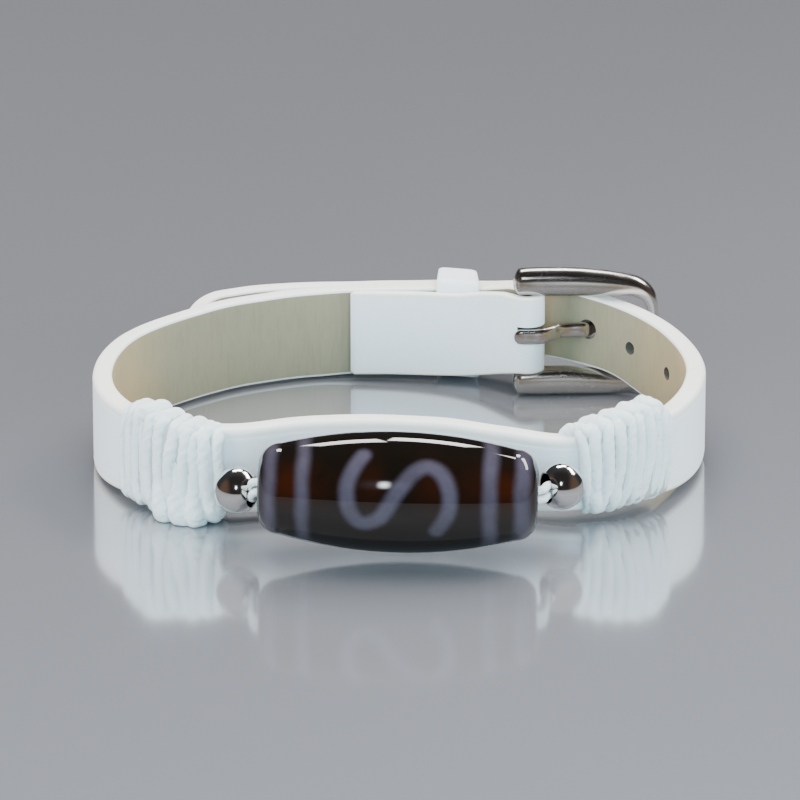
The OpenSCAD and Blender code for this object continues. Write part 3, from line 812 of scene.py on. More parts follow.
def frame_skins():
    """The buckle frame and its hinge bar. Sections |u|^2.4 + |w|^2.4 = 1 stand square to the frame's
    outline in its own plane, and the frame is turned about the hinge."""
    rows = evenly(curve_through(FRAME_ROWS), FRAME_SPACING)
    along = tangents(rows[:, :2])
    sides, power = 56, 2.4
    a = round_angles(sides)
    up, deep = np.cos(a), np.sin(a)
    squash = (np.abs(up) ** power + np.abs(deep) ** power) ** (-1 / power)
    up, deep = up * squash, deep * squash
    x = rows[:, :1] - rows[:, 2:3] * up * along[:, 1:2] - HINGE[0]
    z = rows[:, 1:2] + rows[:, 2:3] * up * along[:, :1]
    y = rows[:, 3:4] * deep
    turn = math.radians(FRAME_TURN)
    x, y = x * math.cos(turn) - y * math.sin(turn), x * math.sin(turn) + y * math.cos(turn)
    points = np.stack([HINGE[0] + x, HINGE[1] + y, z], axis=-1)
    ring = grid_skin(points, uv_grid(lengths(rows[:, :2]) * MM, np.linspace(0, 1, sides + 1)))
    low, high = HINGE_BAR_Z
    return [outward(ring), rod_skin((HINGE[0], HINGE[1], (low + high) / 2), (0, 0, 1), HINGE_R, high - low)]


def prong_skins():
    """The prong: rounded oblongs standing along its path, whose half height and thickness shrink as quarter
    ellipses at both ends, and the ring that holds the hinge bar."""
    rows = evenly(curve_through(PRONG_ROWS), PRONG_SPACING)
    s = lengths(rows[:, :2])
    to_end = np.minimum(s, s[-1] - s)
    tall = quarter_ellipse(to_end + 0.004, 0.8)[:, None]
    thick = quarter_ellipse(to_end + 0.01, 0.4)[:, None]
    sides = 40
    a = round_angles(sides)
    x = signed_power(np.cos(a), 0.85) * thick * PRONG_T / 2
    z = signed_power(np.sin(a), 0.7) * tall * (rows[:, 3:4] - rows[:, 2:3]) / 2
    z = z + (rows[:, 3:4] + rows[:, 2:3]) / 2
    wire = outward(grid_skin(stand(rows, x, z), uv_grid(s * MM, np.linspace(0, 1, sides + 1))))
    height = PRONG_H / 2 - 0.05
    inner, outer, r = HINGE_R + 0.05, PRONG_RING_R, 0.12
    c = np.linspace(0, math.pi / 2, 6)
    radius = np.concatenate([[inner], outer - r + r * np.sin(c), outer - r + r * np.cos(c), [inner]])
    level = np.concatenate([
        [height], height - r + r * np.cos(c), -(height - r) - r * np.sin(c), [-height],
    ])
    return [wire, revolve(radius[::-1], level[::-1], HINGE, np.eye(3), 64)]


def revolve(radius, level, centre, axes, sides):
    """A closed outline (radius, level) turned about the last of three axes: c + r(cos a u + sin a v) +
    level w."""
    a = round_angles(sides)
    u, v, w = axes
    around = np.cos(a)[:, None, None] * u + np.sin(a)[:, None, None] * v
    points = centre + radius[None, :, None] * around + level[None, :, None] * w
    uv = uv_grid(np.arange(sides + 1) / sides, np.arange(len(level) + 1) / len(level))
    return outward(grid_skin(points, uv, loop_rows=True))


def bead_axes():
    """The bead's own axes as rows: front, up and along, turned by its fall and its yaw."""
    fall, yaw = math.radians(BEAD_FALL), math.radians(BEAD_YAW)
    along = np.array([math.cos(fall) * math.cos(yaw), math.cos(fall) * math.sin(yaw), -math.sin(fall)])
    front = unit(np.cross(along, [0.0, 0.0, 1.0]))
    return np.stack([front, np.cross(front, along), along])


def bead_outline():
    """Closed outline of the bead: a shallow arc, two rounded rims, flat ends and the wall of the drilled
    hole."""
    e, r, lip = BEAD_L / 2, BEAD_END_R, BEAD_CHAMFER

    def arc(s):
        """Radius of the bead's side at s along its axis."""
        return BEAD_D / 2 - BEAD_ARC_R + np.sqrt(BEAD_ARC_R**2 - s * s)

    rim = arc(e - r) - r
    c = np.linspace(0, math.pi / 2, 21)
    s = np.linspace(-(e - r), e - r, 191)
    flat = BEAD_BORE_R + 0.4
    radius = np.concatenate([
        [BEAD_BORE_R, BEAD_BORE_R + lip], np.linspace(flat, rim, 8)[:-1], rim + r * np.sin(c)[:-1], arc(s),
        (rim + r * np.cos(c))[1:], np.linspace(rim, flat, 8)[1:], [BEAD_BORE_R + lip, BEAD_BORE_R],
        np.full(10, BEAD_BORE_R),
    ])
    level = np.concatenate([
        [-e + lip, -e], np.full(7, -e), (-e + r - r * np.cos(c))[:-1], s,
        (e - r + r * np.sin(c))[1:], np.full(7, e), [e, e - lip],
        np.linspace(e - lip, -e + lip, 12)[1:-1],
    ])
    return radius, level


def stroke_distance(s, angle, radius):
    """Distance in mm from points of the bead, unrolled to (s, radius x angle), to the wave's middle line;
    the wave stands twice round the bead."""
    nearest = np.full(s.shape, 1e3)
    for turn in (0.0, 180.0):
        for x, degrees in curve_through(BEAD_WAVE, 8):
            apart = (angle - math.radians(degrees + turn) + math.pi) % (2 * math.pi) - math.pi
            nearest = np.minimum(nearest, np.hypot(s - x, radius * apart))
    return nearest


def pattern_masks(settings):
    """Two masks over the bead's grid. The pale one holds the bands and the wave, with a soft, slightly
    wandering outline. The warm one is a lobe round the bead times bumps exp(-d^2) along it, between the
    bands and in the wave's loops."""
    radius, level = bead_outline()
    s, a = np.meshgrid(level, round_angles(BEAD_SIDES), indexing="xy")
    r = np.broadcast_to(radius[None, :], s.shape)
    wander = 0.06 * np.sin(3 * a + 0.6) + 0.04 * np.sin(7 * a + s)
    half = settings.stroke / MM / 2
    pale = 1 - smoothstep(half - 0.45, half + 0.45, stroke_distance(s + 0.4 * wander, a, r))
    for low, high in BEAD_BANDS:
        inside = np.minimum(s + wander - low, high - s - wander)
        pale = np.maximum(pale, smoothstep(-0.5, 0.5, inside))
    facing = np.abs((a - math.radians(26) + math.pi / 2) % math.pi - math.pi / 2)
    lobe = np.exp(-((facing / 0.42) ** 2))
    ends = np.exp(-(((np.abs(s) - 10.6) / 2.4) ** 2)) + 0.3 * np.exp(-(((np.abs(s) - 7.0) / 1.8) ** 2))
    loops = np.exp(-((s + 2.6) ** 2) / 2.2) * 0.5 + np.exp(-((s - 3.2) ** 2) / 3.0) * 0.55
    return pale, np.clip(lobe * (ends + loops) + 0.04, 0.0, 1.0)


def paint_attribute(mesh, name, values):
    """Stores one number at each vertex of a mesh."""
    layer = mesh.attributes.new(name, "FLOAT", "POINT")
    layer.data.foreach_set("value", values.astype(np.float32).ravel())


def ball_skin(centre, yaw):
    """A drilled ball: an arc of a circle between the rounded rims of its hole, turned about the hole's
    axis."""
    yaw = math.radians(yaw)
    along = np.array([math.cos(yaw), math.sin(yaw), 0.0])
    side = np.array([-math.sin(yaw), math.cos(yaw), 0.0])
    rim = math.acos(BALL_BORE_R / BALL_R)
    a = np.linspace(-rim, rim, 61)
    c = np.linspace(0, math.pi, 9)[1:-1]
    end = BALL_R * math.sin(rim)
    lip = BALL_BORE_R - BALL_LIP * np.sin(c)
    radius = np.concatenate([BALL_R * np.cos(a), lip, np.full(6, BALL_BORE_R - 0.05), lip])
    level = np.concatenate([
        BALL_R * np.sin(a), end - 0.02 - BALL_LIP * (1 - np.cos(c)) / 2,
        np.linspace(end - 0.3, -end + 0.3, 6), -end + 0.02 + BALL_LIP * (1 + np.cos(c)) / 2,
    ])
    return revolve(radius, level, centre, np.stack([side, [0.0, 0.0, 1.0], along]), 96)


def tube_skin(path, side, radius, lay, relief, sides=20, looped=False):
    """A cord of three plies: rings square to a path, whose radius r(1 + relief cos(3(a - 2 pi s / lay)))
    makes its plies wind round it once in the length lay."""
    along = tangents(path, looped)
    side = unit(side - np.sum(side * along, axis=1, keepdims=True) * along)
    rise = np.cross(along, side)
    s = lengths(path)
    total = s[-1] + (np.linalg.norm(path[-1] - path[0]) if looped else 0.0)
    winds = max(round(total / lay), 1) / total
    a = round_angles(sides)
    bulge = 1 + relief * np.cos(PLIES * (a[None, :] - 2 * math.pi * winds * s[:, None]))
    r = np.broadcast_to(np.asarray(radius, float).reshape(-1, 1), (len(path), 1)) * bulge
    around = np.cos(a)[None, :, None] * side[:, None] + np.sin(a)[None, :, None] * rise[:, None]
    uv = uv_grid((np.append(s, total) if looped else s) * MM, np.arange(sides + 1) / sides)
    return outward(grid_skin(path[:, None] + r[..., None] * around, uv, loop_rows=looped))


def bead_strand_path(lift):
    """Middle line of one strand through the bead, lifted off the route square to it."""
    route = evenly(curve_through(CORD_ROUTE, 12), 0.12, places=3)
    along = tangents(route)
    side = unit(np.cross(along, [0.0, 0.0, 1.0]))
    return route + lift * np.cross(side, along), side


class Wrap:
    """The stretch of strap that one wrap covers, and the size of the wrap round it."""

    def __init__(self, ends, table, foot_round):
        rows = evenly(curve_through(LOOP_ROWS, 24), 0.05)
        self.rows = rows[(rows[:, 0] >= ends[0]) & (rows[:, 0] <= ends[1]) & (rows[:, 1] < 0)]
        self.along = tangents(self.rows[:, :2])
        self.length = lengths(self.rows[:, :2])[-1]
        self.table = np.asarray(table)
        self.foot_round = foot_round

    def place(self, share, angle, sink):
        """Points round the strap, and the strap's direction there. The points lie on a squared ellipse:
        its half width is the reach less sink, and its height goes from the foot to over the top edge.
        Beyond the wrap's ends the strap is taken as straight."""
        share, angle, sink = np.broadcast_arrays(*(np.asarray(v, float) for v in (share, angle, sink)))
        index = np.arange(len(self.rows))
        at = np.clip(share, 0, 1) * index[-1]
        row = columns_at(at, index, self.rows)
        travel = unit(columns_at(at, index, self.along))
        beyond = (share - np.clip(share, 0, 1)) * self.length
        sizes = columns_at(share, self.table[:, 0], self.table[:, 1:])
        out, inner, lift, foot, fan = np.moveaxis(sizes, -1, 0)
        c, s = -np.cos(angle), np.sin(angle)
        power = np.where(s < 0, self.foot_round, WRAP_TOP_ROUND)
        off = (np.where(c < 0, out, inner) + row[..., 4] / 2 - sink) * signed_power(c, power)
        low, high = foot + sink, row[..., 3] + lift - sink
        z = (high + low) / 2 + (high - low) / 2 * signed_power(s, power)
        shift = beyond + np.where(c < 0, 0.0, fan * c)
        left = np.stack([-travel[..., 1], travel[..., 0]], axis=-1)
        plan = row[..., :2] + off[..., None] * left + shift[..., None] * travel
        travel = np.concatenate([travel, 0 * travel[..., :1]], axis=-1)
        return np.concatenate([plan, z[..., None]], axis=-1), travel

    def snug(self):
        """The same stretch of strap with a skin a small gap off the leather all round."""
        other = copy.copy(self)
        other.foot_round = 0.3
        share = np.linspace(0, 1, 9)
        low = np.interp(share, np.linspace(0, 1, len(self.rows)), self.rows[:, 2])
        gap = np.full(9, SNUG_GAP)
        other.table = np.stack([share, gap, gap, gap, low - SNUG_GAP, 0 * gap], axis=1)
        return other


def wrap_core(wrap):
    """The bundle under the strands: a closed sleeve from a skin sunk below them to one just off the
    leather. Its v goes from 2 to 3, which the cord's material paints greyer as shade between the turns."""
    sides, rings = 64, 40
    angle = round_angles(sides)
    share = np.linspace(0.05, 0.96, rings)
    inner, _ = wrap.snug().place(share[:, None], angle[None, :], 0.0)
    outer, _ = wrap.place(share[:, None], angle[None, :], CORE_SINK)
    under = np.sin(angle)[None, :] < 0
    outer[..., 2] = np.where(under, np.minimum(outer[..., 2], inner[..., 2] - SNUG_GAP), outer[..., 2])
    uv = uv_grid(np.arange(2 * rings + 1) * 0.3 * MM, 2 + np.arange(sides + 1) / sides)
    return outward(grid_skin(np.concatenate([outer, inner[::-1]]), uv, loop_rows=True))


def turn_skin(wrap, turn, width, rng):
    """One turn of laid cord round the strap: its share goes from the face's to the top's with sin^0.8 of the
    angle, and to the foot's likewise, with a slow seeded wander."""
    top, face, foot, scale, sunk = turn
    angle = round_angles(260)
    up, down = np.clip(np.sin(angle), 0, 1) ** 0.8, np.clip(-np.sin(angle), 0, 1) ** 0.8
    wander = 0.006 * np.sin(2 * angle + rng.uniform(0, 6)) + 0.005 * np.sin(5 * angle + rng.uniform(0, 6))
    share = face + (top - face) * up + (foot - face) * down + wander
    radius = width * scale / 2 * (1 + 0.05 * np.sin(3 * angle + rng.uniform(0, 6)) + 0.03 * np.sin(7 * angle))
    sink = width * scale / 2 + sunk + 0.04 * np.sin(4 * angle + rng.uniform(0, 6))
    path, travel = wrap.place(share, angle, sink)
    return tube_skin(path, travel, radius, WRAP_LAY, 0.045, sides=18, looped=True)


def knot_skin(wrap, knot, rng):
    """A short thick stretch of cord over the turns, from one share and angle to another: it rises gently
    from its first end, stands proud in the middle and dives by the fourth power of the way to its last
    end."""
    share_0, angle_0, share_1, angle_1, width, proud = knot
    u = np.linspace(0, 1, 61)
    dive = np.where(u < 0.5, np.abs(2 * u - 1) ** 1.6, (2 * u - 1) ** 4)
    wander = 0.01 * np.sin(6 * u + rng.uniform(0, 6))
    share = share_0 + (share_1 - share_0) * smoothstep(-0.1, 1.1, u) + wander
    angle = np.radians(angle_0 + (angle_1 - angle_0) * u)
    path, _ = wrap.place(share, angle, width / 2 - proud + (proud + 0.55) * dive)
    radius = width / 2 * (1 - 0.45 * dive)
    side = np.cross(tangents(path), unit(path - path.mean(axis=0) + [0.0, 0.0, 3.0]))
    return tube_skin(path, side, radius, WRAP_LAY, 0.05, sides=22)


def wrap_skins(wrap, turns, knots, width, seed):
    """A wrap: its core, its turns and its knots. Heights near the floor are eased as g + e exp((z - g -
    e) / e), so that none comes below the gap g."""
    rng = np.random.default_rng(seed)
    skins = [wrap_core(wrap)]
    skins += [turn_skin(wrap, turn, width, rng) for turn in turns]
    skins += [knot_skin(wrap, knot, rng) for knot in knots]
    points, faces, corner_uv = joined(skins)
    z = points[:, 2]
    start = FLOOR_GAP + FLOOR_EASE
    points[:, 2] = np.where(z < start, FLOOR_GAP + FLOOR_EASE * np.exp((z - start) / FLOOR_EASE), z)
    return points, faces, corner_uv


class Nodes:
    """Makes and joins the nodes of one tree."""

    def __init__(self, tree):
        self.tree = tree

    def feed(self, value, socket):
        """Links an output to a socket, or sets the socket's own value."""
        if isinstance(value, bpy.types.NodeSocket):
            self.tree.links.new(value, socket)
        else:
            socket.default_value = value

    def add(self, kind, settings=None, **sockets):
        """One node. Sockets are given by name with underscores for spaces, or as in0, in1 and so on."""
        made = self.tree.nodes.new(kind)
        count = len(self.tree.nodes)
        made.location = (220 * (count % 12), -260 * (count // 12))
        for name, value in (settings or {}).items():
            setattr(made, name, value)
        for name, value in sockets.items():
            numbered = name[:2] == "in" and name[2:].isdigit()
            self.feed(value, made.inputs[int(name[2:]) if numbered else name.replace("_", " ")])
        return made

    def group(self, group, **sockets):
        """The outputs of a node group that is placed with its own values."""
        return self.add("ShaderNodeGroup", {"node_tree": group}, **sockets).outputs

    def here(self):
        """The place on the object, in metres."""
        return self.add("ShaderNodeTexCoord").outputs["Object"]

    def surface(self):
        """The place in the surface map."""
        return self.add("ShaderNodeUVMap", {"uv_map": "surface"}).outputs[0]

    def painted(self, name):
        """A number stored at the vertices."""
        return self.add("ShaderNodeAttribute", {"attribute_name": name}).outputs["Fac"]

    def split(self, vector):
        """The three parts of a vector."""
        return self.add("ShaderNodeSeparateXYZ", None, Vector=vector).outputs

    def maths(self, operation, a, b=0.0, clamp=False):
        """A Math node's result."""
        settings = {"operation": operation, "use_clamp": clamp}
        return self.add("ShaderNodeMath", settings, in0=a, in1=b).outputs[0]

    def times(self, a, b):
        """Two numbers multiplied."""
        return self.maths("MULTIPLY", a, b)

    def plus(self, a, b):
        """Two numbers added."""
        return self.maths("ADD", a, b)

    def blend(self, share, a, b):
        """Two colours mixed by a share."""
        settings = {"data_type": "RGBA", "blend_type": "MIX"}
        return self.add("ShaderNodeMix", settings, in0=share, in6=a, in7=b).outputs[2]

    def ramp(self, value, low, high, to_low=0.0, to_high=1.0):
        """A value carried smoothly from one range to another."""
        return self.add(
            "ShaderNodeMapRange", {"interpolation_type": "SMOOTHSTEP"}, Value=value,
            From_Min=low, From_Max=high, To_Min=to_low, To_Max=to_high,
        ).outputs["Result"]

    def noise(self, vector, scale, detail=4.0, rough=0.55, distortion=0.0):
        """A noise texture's value."""
        return self.add(
            "ShaderNodeTexNoise", None, Vector=vector, Scale=scale, Detail=detail, Roughness=rough,
            Distortion=distortion,
        ).outputs["Fac"]

    def emboss(self, shader, height, strength, distance):
        """Tilts a shader's normals by a height."""
        bump = self.add("ShaderNodeBump", None, Strength=strength, Distance=distance, Height=height)
        self.feed(bump.outputs[0], shader.inputs["Normal"])


def new_group(name, vector, numbers, results):
    """A node group with one vector input, number inputs with their values, and number outputs."""
    group = bpy.data.node_groups.new(name, "ShaderNodeTree")
    sockets = group.interface
    sockets.new_socket(vector, in_out="INPUT", socket_type="NodeSocketVector")
    for label, value in numbers.items():
        sockets.new_socket(label, in_out="INPUT", socket_type="NodeSocketFloat").default_value = value
    for label in results:
        sockets.new_socket(label, in_out="OUTPUT", socket_type="NodeSocketFloat")
    given, result = group.nodes.new("NodeGroupInput"), group.nodes.new("NodeGroupOutput")
    return group, Nodes(group), given.outputs, result.inputs


def grain_group():
    """Leather grain: rounded cells of pores and a slow swell give a height, and a mottle tints the
    colour."""
    numbers = {"Cell Scale": 3200.0, "Swell Scale": 260.0, "Swell Share": 0.5}
    group, nodes, given, result = new_group("leather_grain", "Vector", numbers, ("Height", "Mottle"))
    here, cell_scale, swell_scale, swell_share = given[0], given[1], given[2], given[3]
    cells = nodes.add(
        "ShaderNodeTexVoronoi", {"feature": "SMOOTH_F1"}, Vector=here, Scale=cell_scale, Smoothness=0.6,
    )
    pores = nodes.ramp(cells.outputs["Distance"], 0.15, 0.7)
    swell = nodes.noise(here, swell_scale, 3.0)
    fine = nodes.noise(here, cell_scale, 2.0)
    height = nodes.plus(nodes.times(pores, 0.5), nodes.times(fine, 0.3))
    nodes.feed(nodes.plus(height, nodes.times(swell, swell_share)), result[0])
    mottle = nodes.noise(here, 420.0, 5.0, 0.65)
    nodes.feed(nodes.ramp(mottle, 0.3, 0.7), result[1])
    return group


def fibre_group():
    """Fibres along a cord: stretched noise that slants across the strand gives a height and a tone."""
    numbers = {"Fibres": 9.0, "Slant": 420.0}
    group, nodes, given, result = new_group("cord_fibre", "UV", numbers, ("Height", "Tone"))
    parts = nodes.split(given[0])
    across = nodes.maths("SUBTRACT", parts[1], nodes.times(parts[0], given[2]))
    turned = nodes.times(across, given[1])
    along = nodes.times(parts[0], 1300.0)
    vector = nodes.add("ShaderNodeCombineXYZ", None, X=along, Y=nodes.times(turned, 3.0), Z=0.0).outputs[0]
    nodes.feed(nodes.noise(vector, 1.0, 5.0, 0.6, 0.6), result[0])
    nodes.feed(nodes.ramp(nodes.noise(vector, 0.45, 3.0), 0.3, 0.7), result[1])
    return group


def wear_group():
    """Handling marks on a polished surface: fine scratches crossing at random and a slow haze."""
    numbers = {"Scale": 900.0}
    group, nodes, given, result = new_group("handling_marks", "Vector", numbers, ("Scratches", "Haze"))
    stretched = nodes.add(
        "ShaderNodeMapping", None, Vector=given[0], Rotation=(0.4, 0.9, 0.3), Scale=(1.0, 14.0, 9.0),
    ).outputs[0]
    nodes.feed(nodes.ramp(nodes.noise(stretched, given[1], 3.0, 0.7), 0.58, 0.74), result[0])
    haze = nodes.noise(given[0], nodes.times(given[1], 0.35), 4.0)
    nodes.feed(nodes.ramp(haze, 0.35, 0.75), result[1])
    return group


def new_material(name, **constants):
    """A material with a Principled shader whose plain values are set on its own sockets: its nodes and
    shader."""
    material = bpy.data.materials.new(name)
    material.use_nodes = True
    shader = material.node_tree.nodes["Principled BSDF"]
    for label, value in constants.items():
        shader.inputs[label.replace("_", " ")].default_value = value
    return Nodes(material.node_tree), shader


def colour(values, strength=1.0):
    """A colour times a strength, with full alpha."""
    return (*(c * strength for c in values), 1.0)


def leather_material(settings, grain):
    """White leather: grained outer face, satin edge paint, and a beige lining with fine creases across it,
    painted darker in its creases and browner at its bends and under the buckle's bar, all as shade."""
    nodes, shader = new_material("white_leather", IOR=1.5, Specular_IOR_Level=0.45, Sheen_Weight=0.04)
    here = nodes.here()
    u, v = nodes.split(nodes.surface())[:2]
    lining = nodes.times(nodes.ramp(v, 0.495, 0.502), nodes.ramp(v, 0.898, 0.905, 1.0, 0.0))
    face = nodes.ramp(v, 0.372, 0.392, 1.0, 0.0)
    face = nodes.times(face, nodes.ramp(v, 0.008, 0.024))
    x, y, z = nodes.split(here)[:3]
    skin = nodes.group(grain, Vector=here)
    # Painted warm shade: the lining turns browner, in patches, towards the loop's sides
    bend_shade = nodes.ramp(nodes.maths("ABSOLUTE", x), 0.0225, 0.0305)
    bend_shade = nodes.times(bend_shade, nodes.noise(here, 160.0, 3.0))
    along, up = nodes.times(u, 2100.0), nodes.times(z, 330.0)
    creases_at = nodes.add("ShaderNodeCombineXYZ", None, X=along, Y=up, Z=0.0).outputs[0]
    creases = nodes.noise(creases_at, 1.0, 4.0, 0.6, 0.9)
    crease_shade = nodes.ramp(creases, 0.36, 0.56)
    face_colour, edge_colour, beige = settings.face_colour, settings.edge_colour, settings.lining_colour
    face_tone = nodes.blend(nodes.times(skin["Mottle"], 0.35), colour(face_colour), colour(face_colour, 0.93))
    edge_tone = nodes.blend(nodes.noise(here, 900.0, 3.0), colour(edge_colour), colour(edge_colour, 0.94))
    # Painted shade: the lining is darker where its creases sink
    lining_tone = nodes.blend(crease_shade, colour(beige, 0.91), colour(beige))
    lining_tone = nodes.blend(nodes.times(skin["Mottle"], 0.3), lining_tone, colour(beige, 1.12))
    lining_tone = nodes.blend(nodes.maths("MULTIPLY", bend_shade, 1.5, True), lining_tone, colour(BEND_SHADE_BROWN))
    # Painted shade: a warm brown on the lining under the buckle's bar
    buckle_shade = nodes.times(nodes.ramp(x, 0.0145, 0.019, 0.55, 0.0), nodes.ramp(x, 0.0125, 0.0135))
    buckle_shade = nodes.times(buckle_shade, nodes.ramp(y, 0.0, 0.01))
    lining_tone = nodes.blend(buckle_shade, lining_tone, colour(BUCKLE_SHADE_BROWN))
    tone = nodes.blend(face, edge_tone, face_tone)
    tone = nodes.blend(lining, tone, lining_tone)
    # Painted shade: the walls of the punched holes are dark
    tone = nodes.blend(nodes.ramp(v, 2.0, 3.0), tone, colour(HOLE_SHADE))
    nodes.feed(tone, shader.inputs["Base Color"])
    rough = nodes.ramp(lining, 0.0, 1.0, 0.42, 0.66)
    nodes.feed(nodes.plus(rough, nodes.times(skin["Mottle"], 0.08)), shader.inputs["Roughness"])
    face_height = nodes.times(skin["Height"], nodes.times(face, 0.5))
    lining_height = nodes.times(lining, nodes.times(creases, 2.6))
    nodes.emboss(shader, nodes.plus(face_height, lining_height), 0.35, 0.06 * MM)


def cord_material(settings, fibre):
    """Waxed white cord: slanting fibres, greyer where dust settles between them, and painted greyer as shade
    on the bundle below them."""
    nodes, shader = new_material(
        "waxed_cord", IOR=1.48, Specular_IOR_Level=0.35, Sheen_Weight=0.15, Sheen_Roughness=0.5,
    )
    here = nodes.here()
    uv = nodes.surface()
    fibres = nodes.group(fibre, UV=uv)
    dust = nodes.ramp(nodes.noise(here, 700.0, 4.0), 0.35, 0.75)
    hollow, dirt_and_shade = colour(settings.dust_and_shade_colour), colour(settings.dust_and_shade_colour, 0.6)
    tone = nodes.blend(nodes.times(fibres["Tone"], 0.16), colour(settings.colour), hollow)
    tone = nodes.blend(nodes.times(dust, 0.2), tone, hollow)
    flecks = nodes.ramp(nodes.noise(here, 1500.0, 4.0, 0.6), 0.62, 0.72)
    tone = nodes.blend(nodes.times(flecks, 0.35), tone, dirt_and_shade)
    # Painted shade: the bundle under the turns is mixed three quarters towards the darker grey
    bundle = nodes.ramp(nodes.split(uv)[1], 1.3, 1.7, 0.0, 0.75)
    nodes.feed(nodes.blend(bundle, tone, dirt_and_shade), shader.inputs["Base Color"])
    nodes.feed(nodes.ramp(fibres["Tone"], 0.0, 1.0, 0.6, 0.82), shader.inputs["Roughness"])
    fuzz = nodes.times(nodes.noise(here, 2600.0, 5.0, 0.7), 0.7)
    lumps = nodes.times(nodes.noise(here, 850.0, 4.0, 0.6), 1.6)
    nodes.emboss(shader, nodes.plus(fibres["Height"], nodes.plus(fuzz, lumps)), 0.75, 0.16 * MM)


def metal_material(name, tint, rough, wear, bore=False):
    """Polished metal with a faint haze and hair-fine scratches; a drilled bore is painted dark as shade."""
    nodes, shader = new_material(name, Metallic=1.0)
    marks = nodes.group(wear, Vector=nodes.here())
    tone = nodes.blend(nodes.times(marks["Haze"], 0.25), colour(tint), colour(tint, 0.9))
    if bore:
        # Painted shade: the inside of a ball's bore is near black
        tone = nodes.blend(nodes.painted("bore"), tone, colour(BORE_SHADE))
    nodes.feed(tone, shader.inputs["Base Color"])
    haze = nodes.ramp(marks["Haze"], 0.0, 1.0, rough, rough + 0.05)
    nodes.feed(nodes.plus(haze, nodes.times(marks["Scratches"], 0.06)), shader.inputs["Roughness"])
    nodes.emboss(shader, marks["Scratches"], 0.05, 0.01 * MM)


def agate_material(settings, wear):
    """Dark agate with etched bands: polished brown stone, warmer where light comes through."""
    nodes, shader = new_material("dzi_agate", IOR=1.54, Specular_IOR_Level=0.5)
    here = nodes.here()
    pale, warm = nodes.painted("pale"), nodes.painted("warm")
    cloud = nodes.noise(here, 240.0, 5.0, 0.6)
    glow = nodes.times(warm, nodes.ramp(cloud, 0.2, 0.62))
    stone = nodes.blend(glow, colour(settings.body_colour), colour(settings.glow_colour))
    veins = nodes.times(nodes.ramp(nodes.noise(here, 900.0, 6.0, 0.7), 0.35, 0.75), 0.35)
    band = nodes.blend(veins, colour(settings.band_colour), colour(settings.band_colour, 0.7))
    depth = nodes.times(pale, nodes.ramp(cloud, 0.3, 0.7, 0.72, 1.0))
    nodes.feed(nodes.blend(depth, stone, band), shader.inputs["Base Color"])
    marks = nodes.group(wear, Vector=here, Scale=500.0)
    nodes.feed(nodes.ramp(marks["Haze"], 0.0, 1.0, 0.02, 0.045), shader.inputs["Roughness"])


def floor_material(settings):
    """The pale floor: smooth and softly glossy, with a faint unevenness, and a painted falloff of light that
    makes it lighter to the right and towards the camera."""
    nodes, shader = new_material(
        "pale_floor", IOR=2.6, Specular_IOR_Level=0.5, Coat_Weight=0.85, Coat_IOR=3.0, Coat_Roughness=0.10,
    )
    here = nodes.here()
    x, y = nodes.split(here)[:2]
    # Painted light: the floor lightens towards the right and the camera
    painted_falloff = nodes.ramp(nodes.maths("SUBTRACT", x, y), -0.14, 0.16)
    tone = nodes.blend(painted_falloff, colour(settings.floor_colour, 0.90), colour(settings.floor_colour, 1.28))
    tone = nodes.blend(nodes.times(nodes.noise(here, 9.0, 3.0), 0.2), tone, colour(settings.floor_colour))
    nodes.feed(tone, shader.inputs["Base Color"])
    nodes.feed(nodes.ramp(nodes.noise(here, 30.0, 3.0), 0.2, 0.8, 0.10, 0.13), shader.inputs["Roughness"])


def light_patch(nodes, direction, azimuth, elevation, half_width, half_height, soft):
    """A mask for a soft oblong of sky: the direction is turned so the patch's middle is +Y, and both x/y
    and z/y must lie within its half sizes in degrees."""
    turned = direction
    for axis, angle in (("Z_AXIS", azimuth), ("X_AXIS", -elevation)):
        turned = nodes.add(
            "ShaderNodeVectorRotate", {"rotation_type": axis}, Vector=turned, Angle=math.radians(angle),
        ).outputs[0]
    parts = nodes.split(turned)
    ahead = nodes.maths("MAXIMUM", parts[1], 1e-3)
    masks = []
    for axis, half in ((0, half_width), (2, half_height)):
        ratio = nodes.maths("ABSOLUTE", nodes.maths("DIVIDE", parts[axis], ahead))
        edge = math.tan(math.radians(half))
        masks.append(nodes.ramp(ratio, edge * (1 - soft), edge * (1 + soft), 1.0, 0.0))
    front = nodes.ramp(parts[1], 0.0, 0.02)
    return nodes.times(front, nodes.times(masks[0], masks[1]))


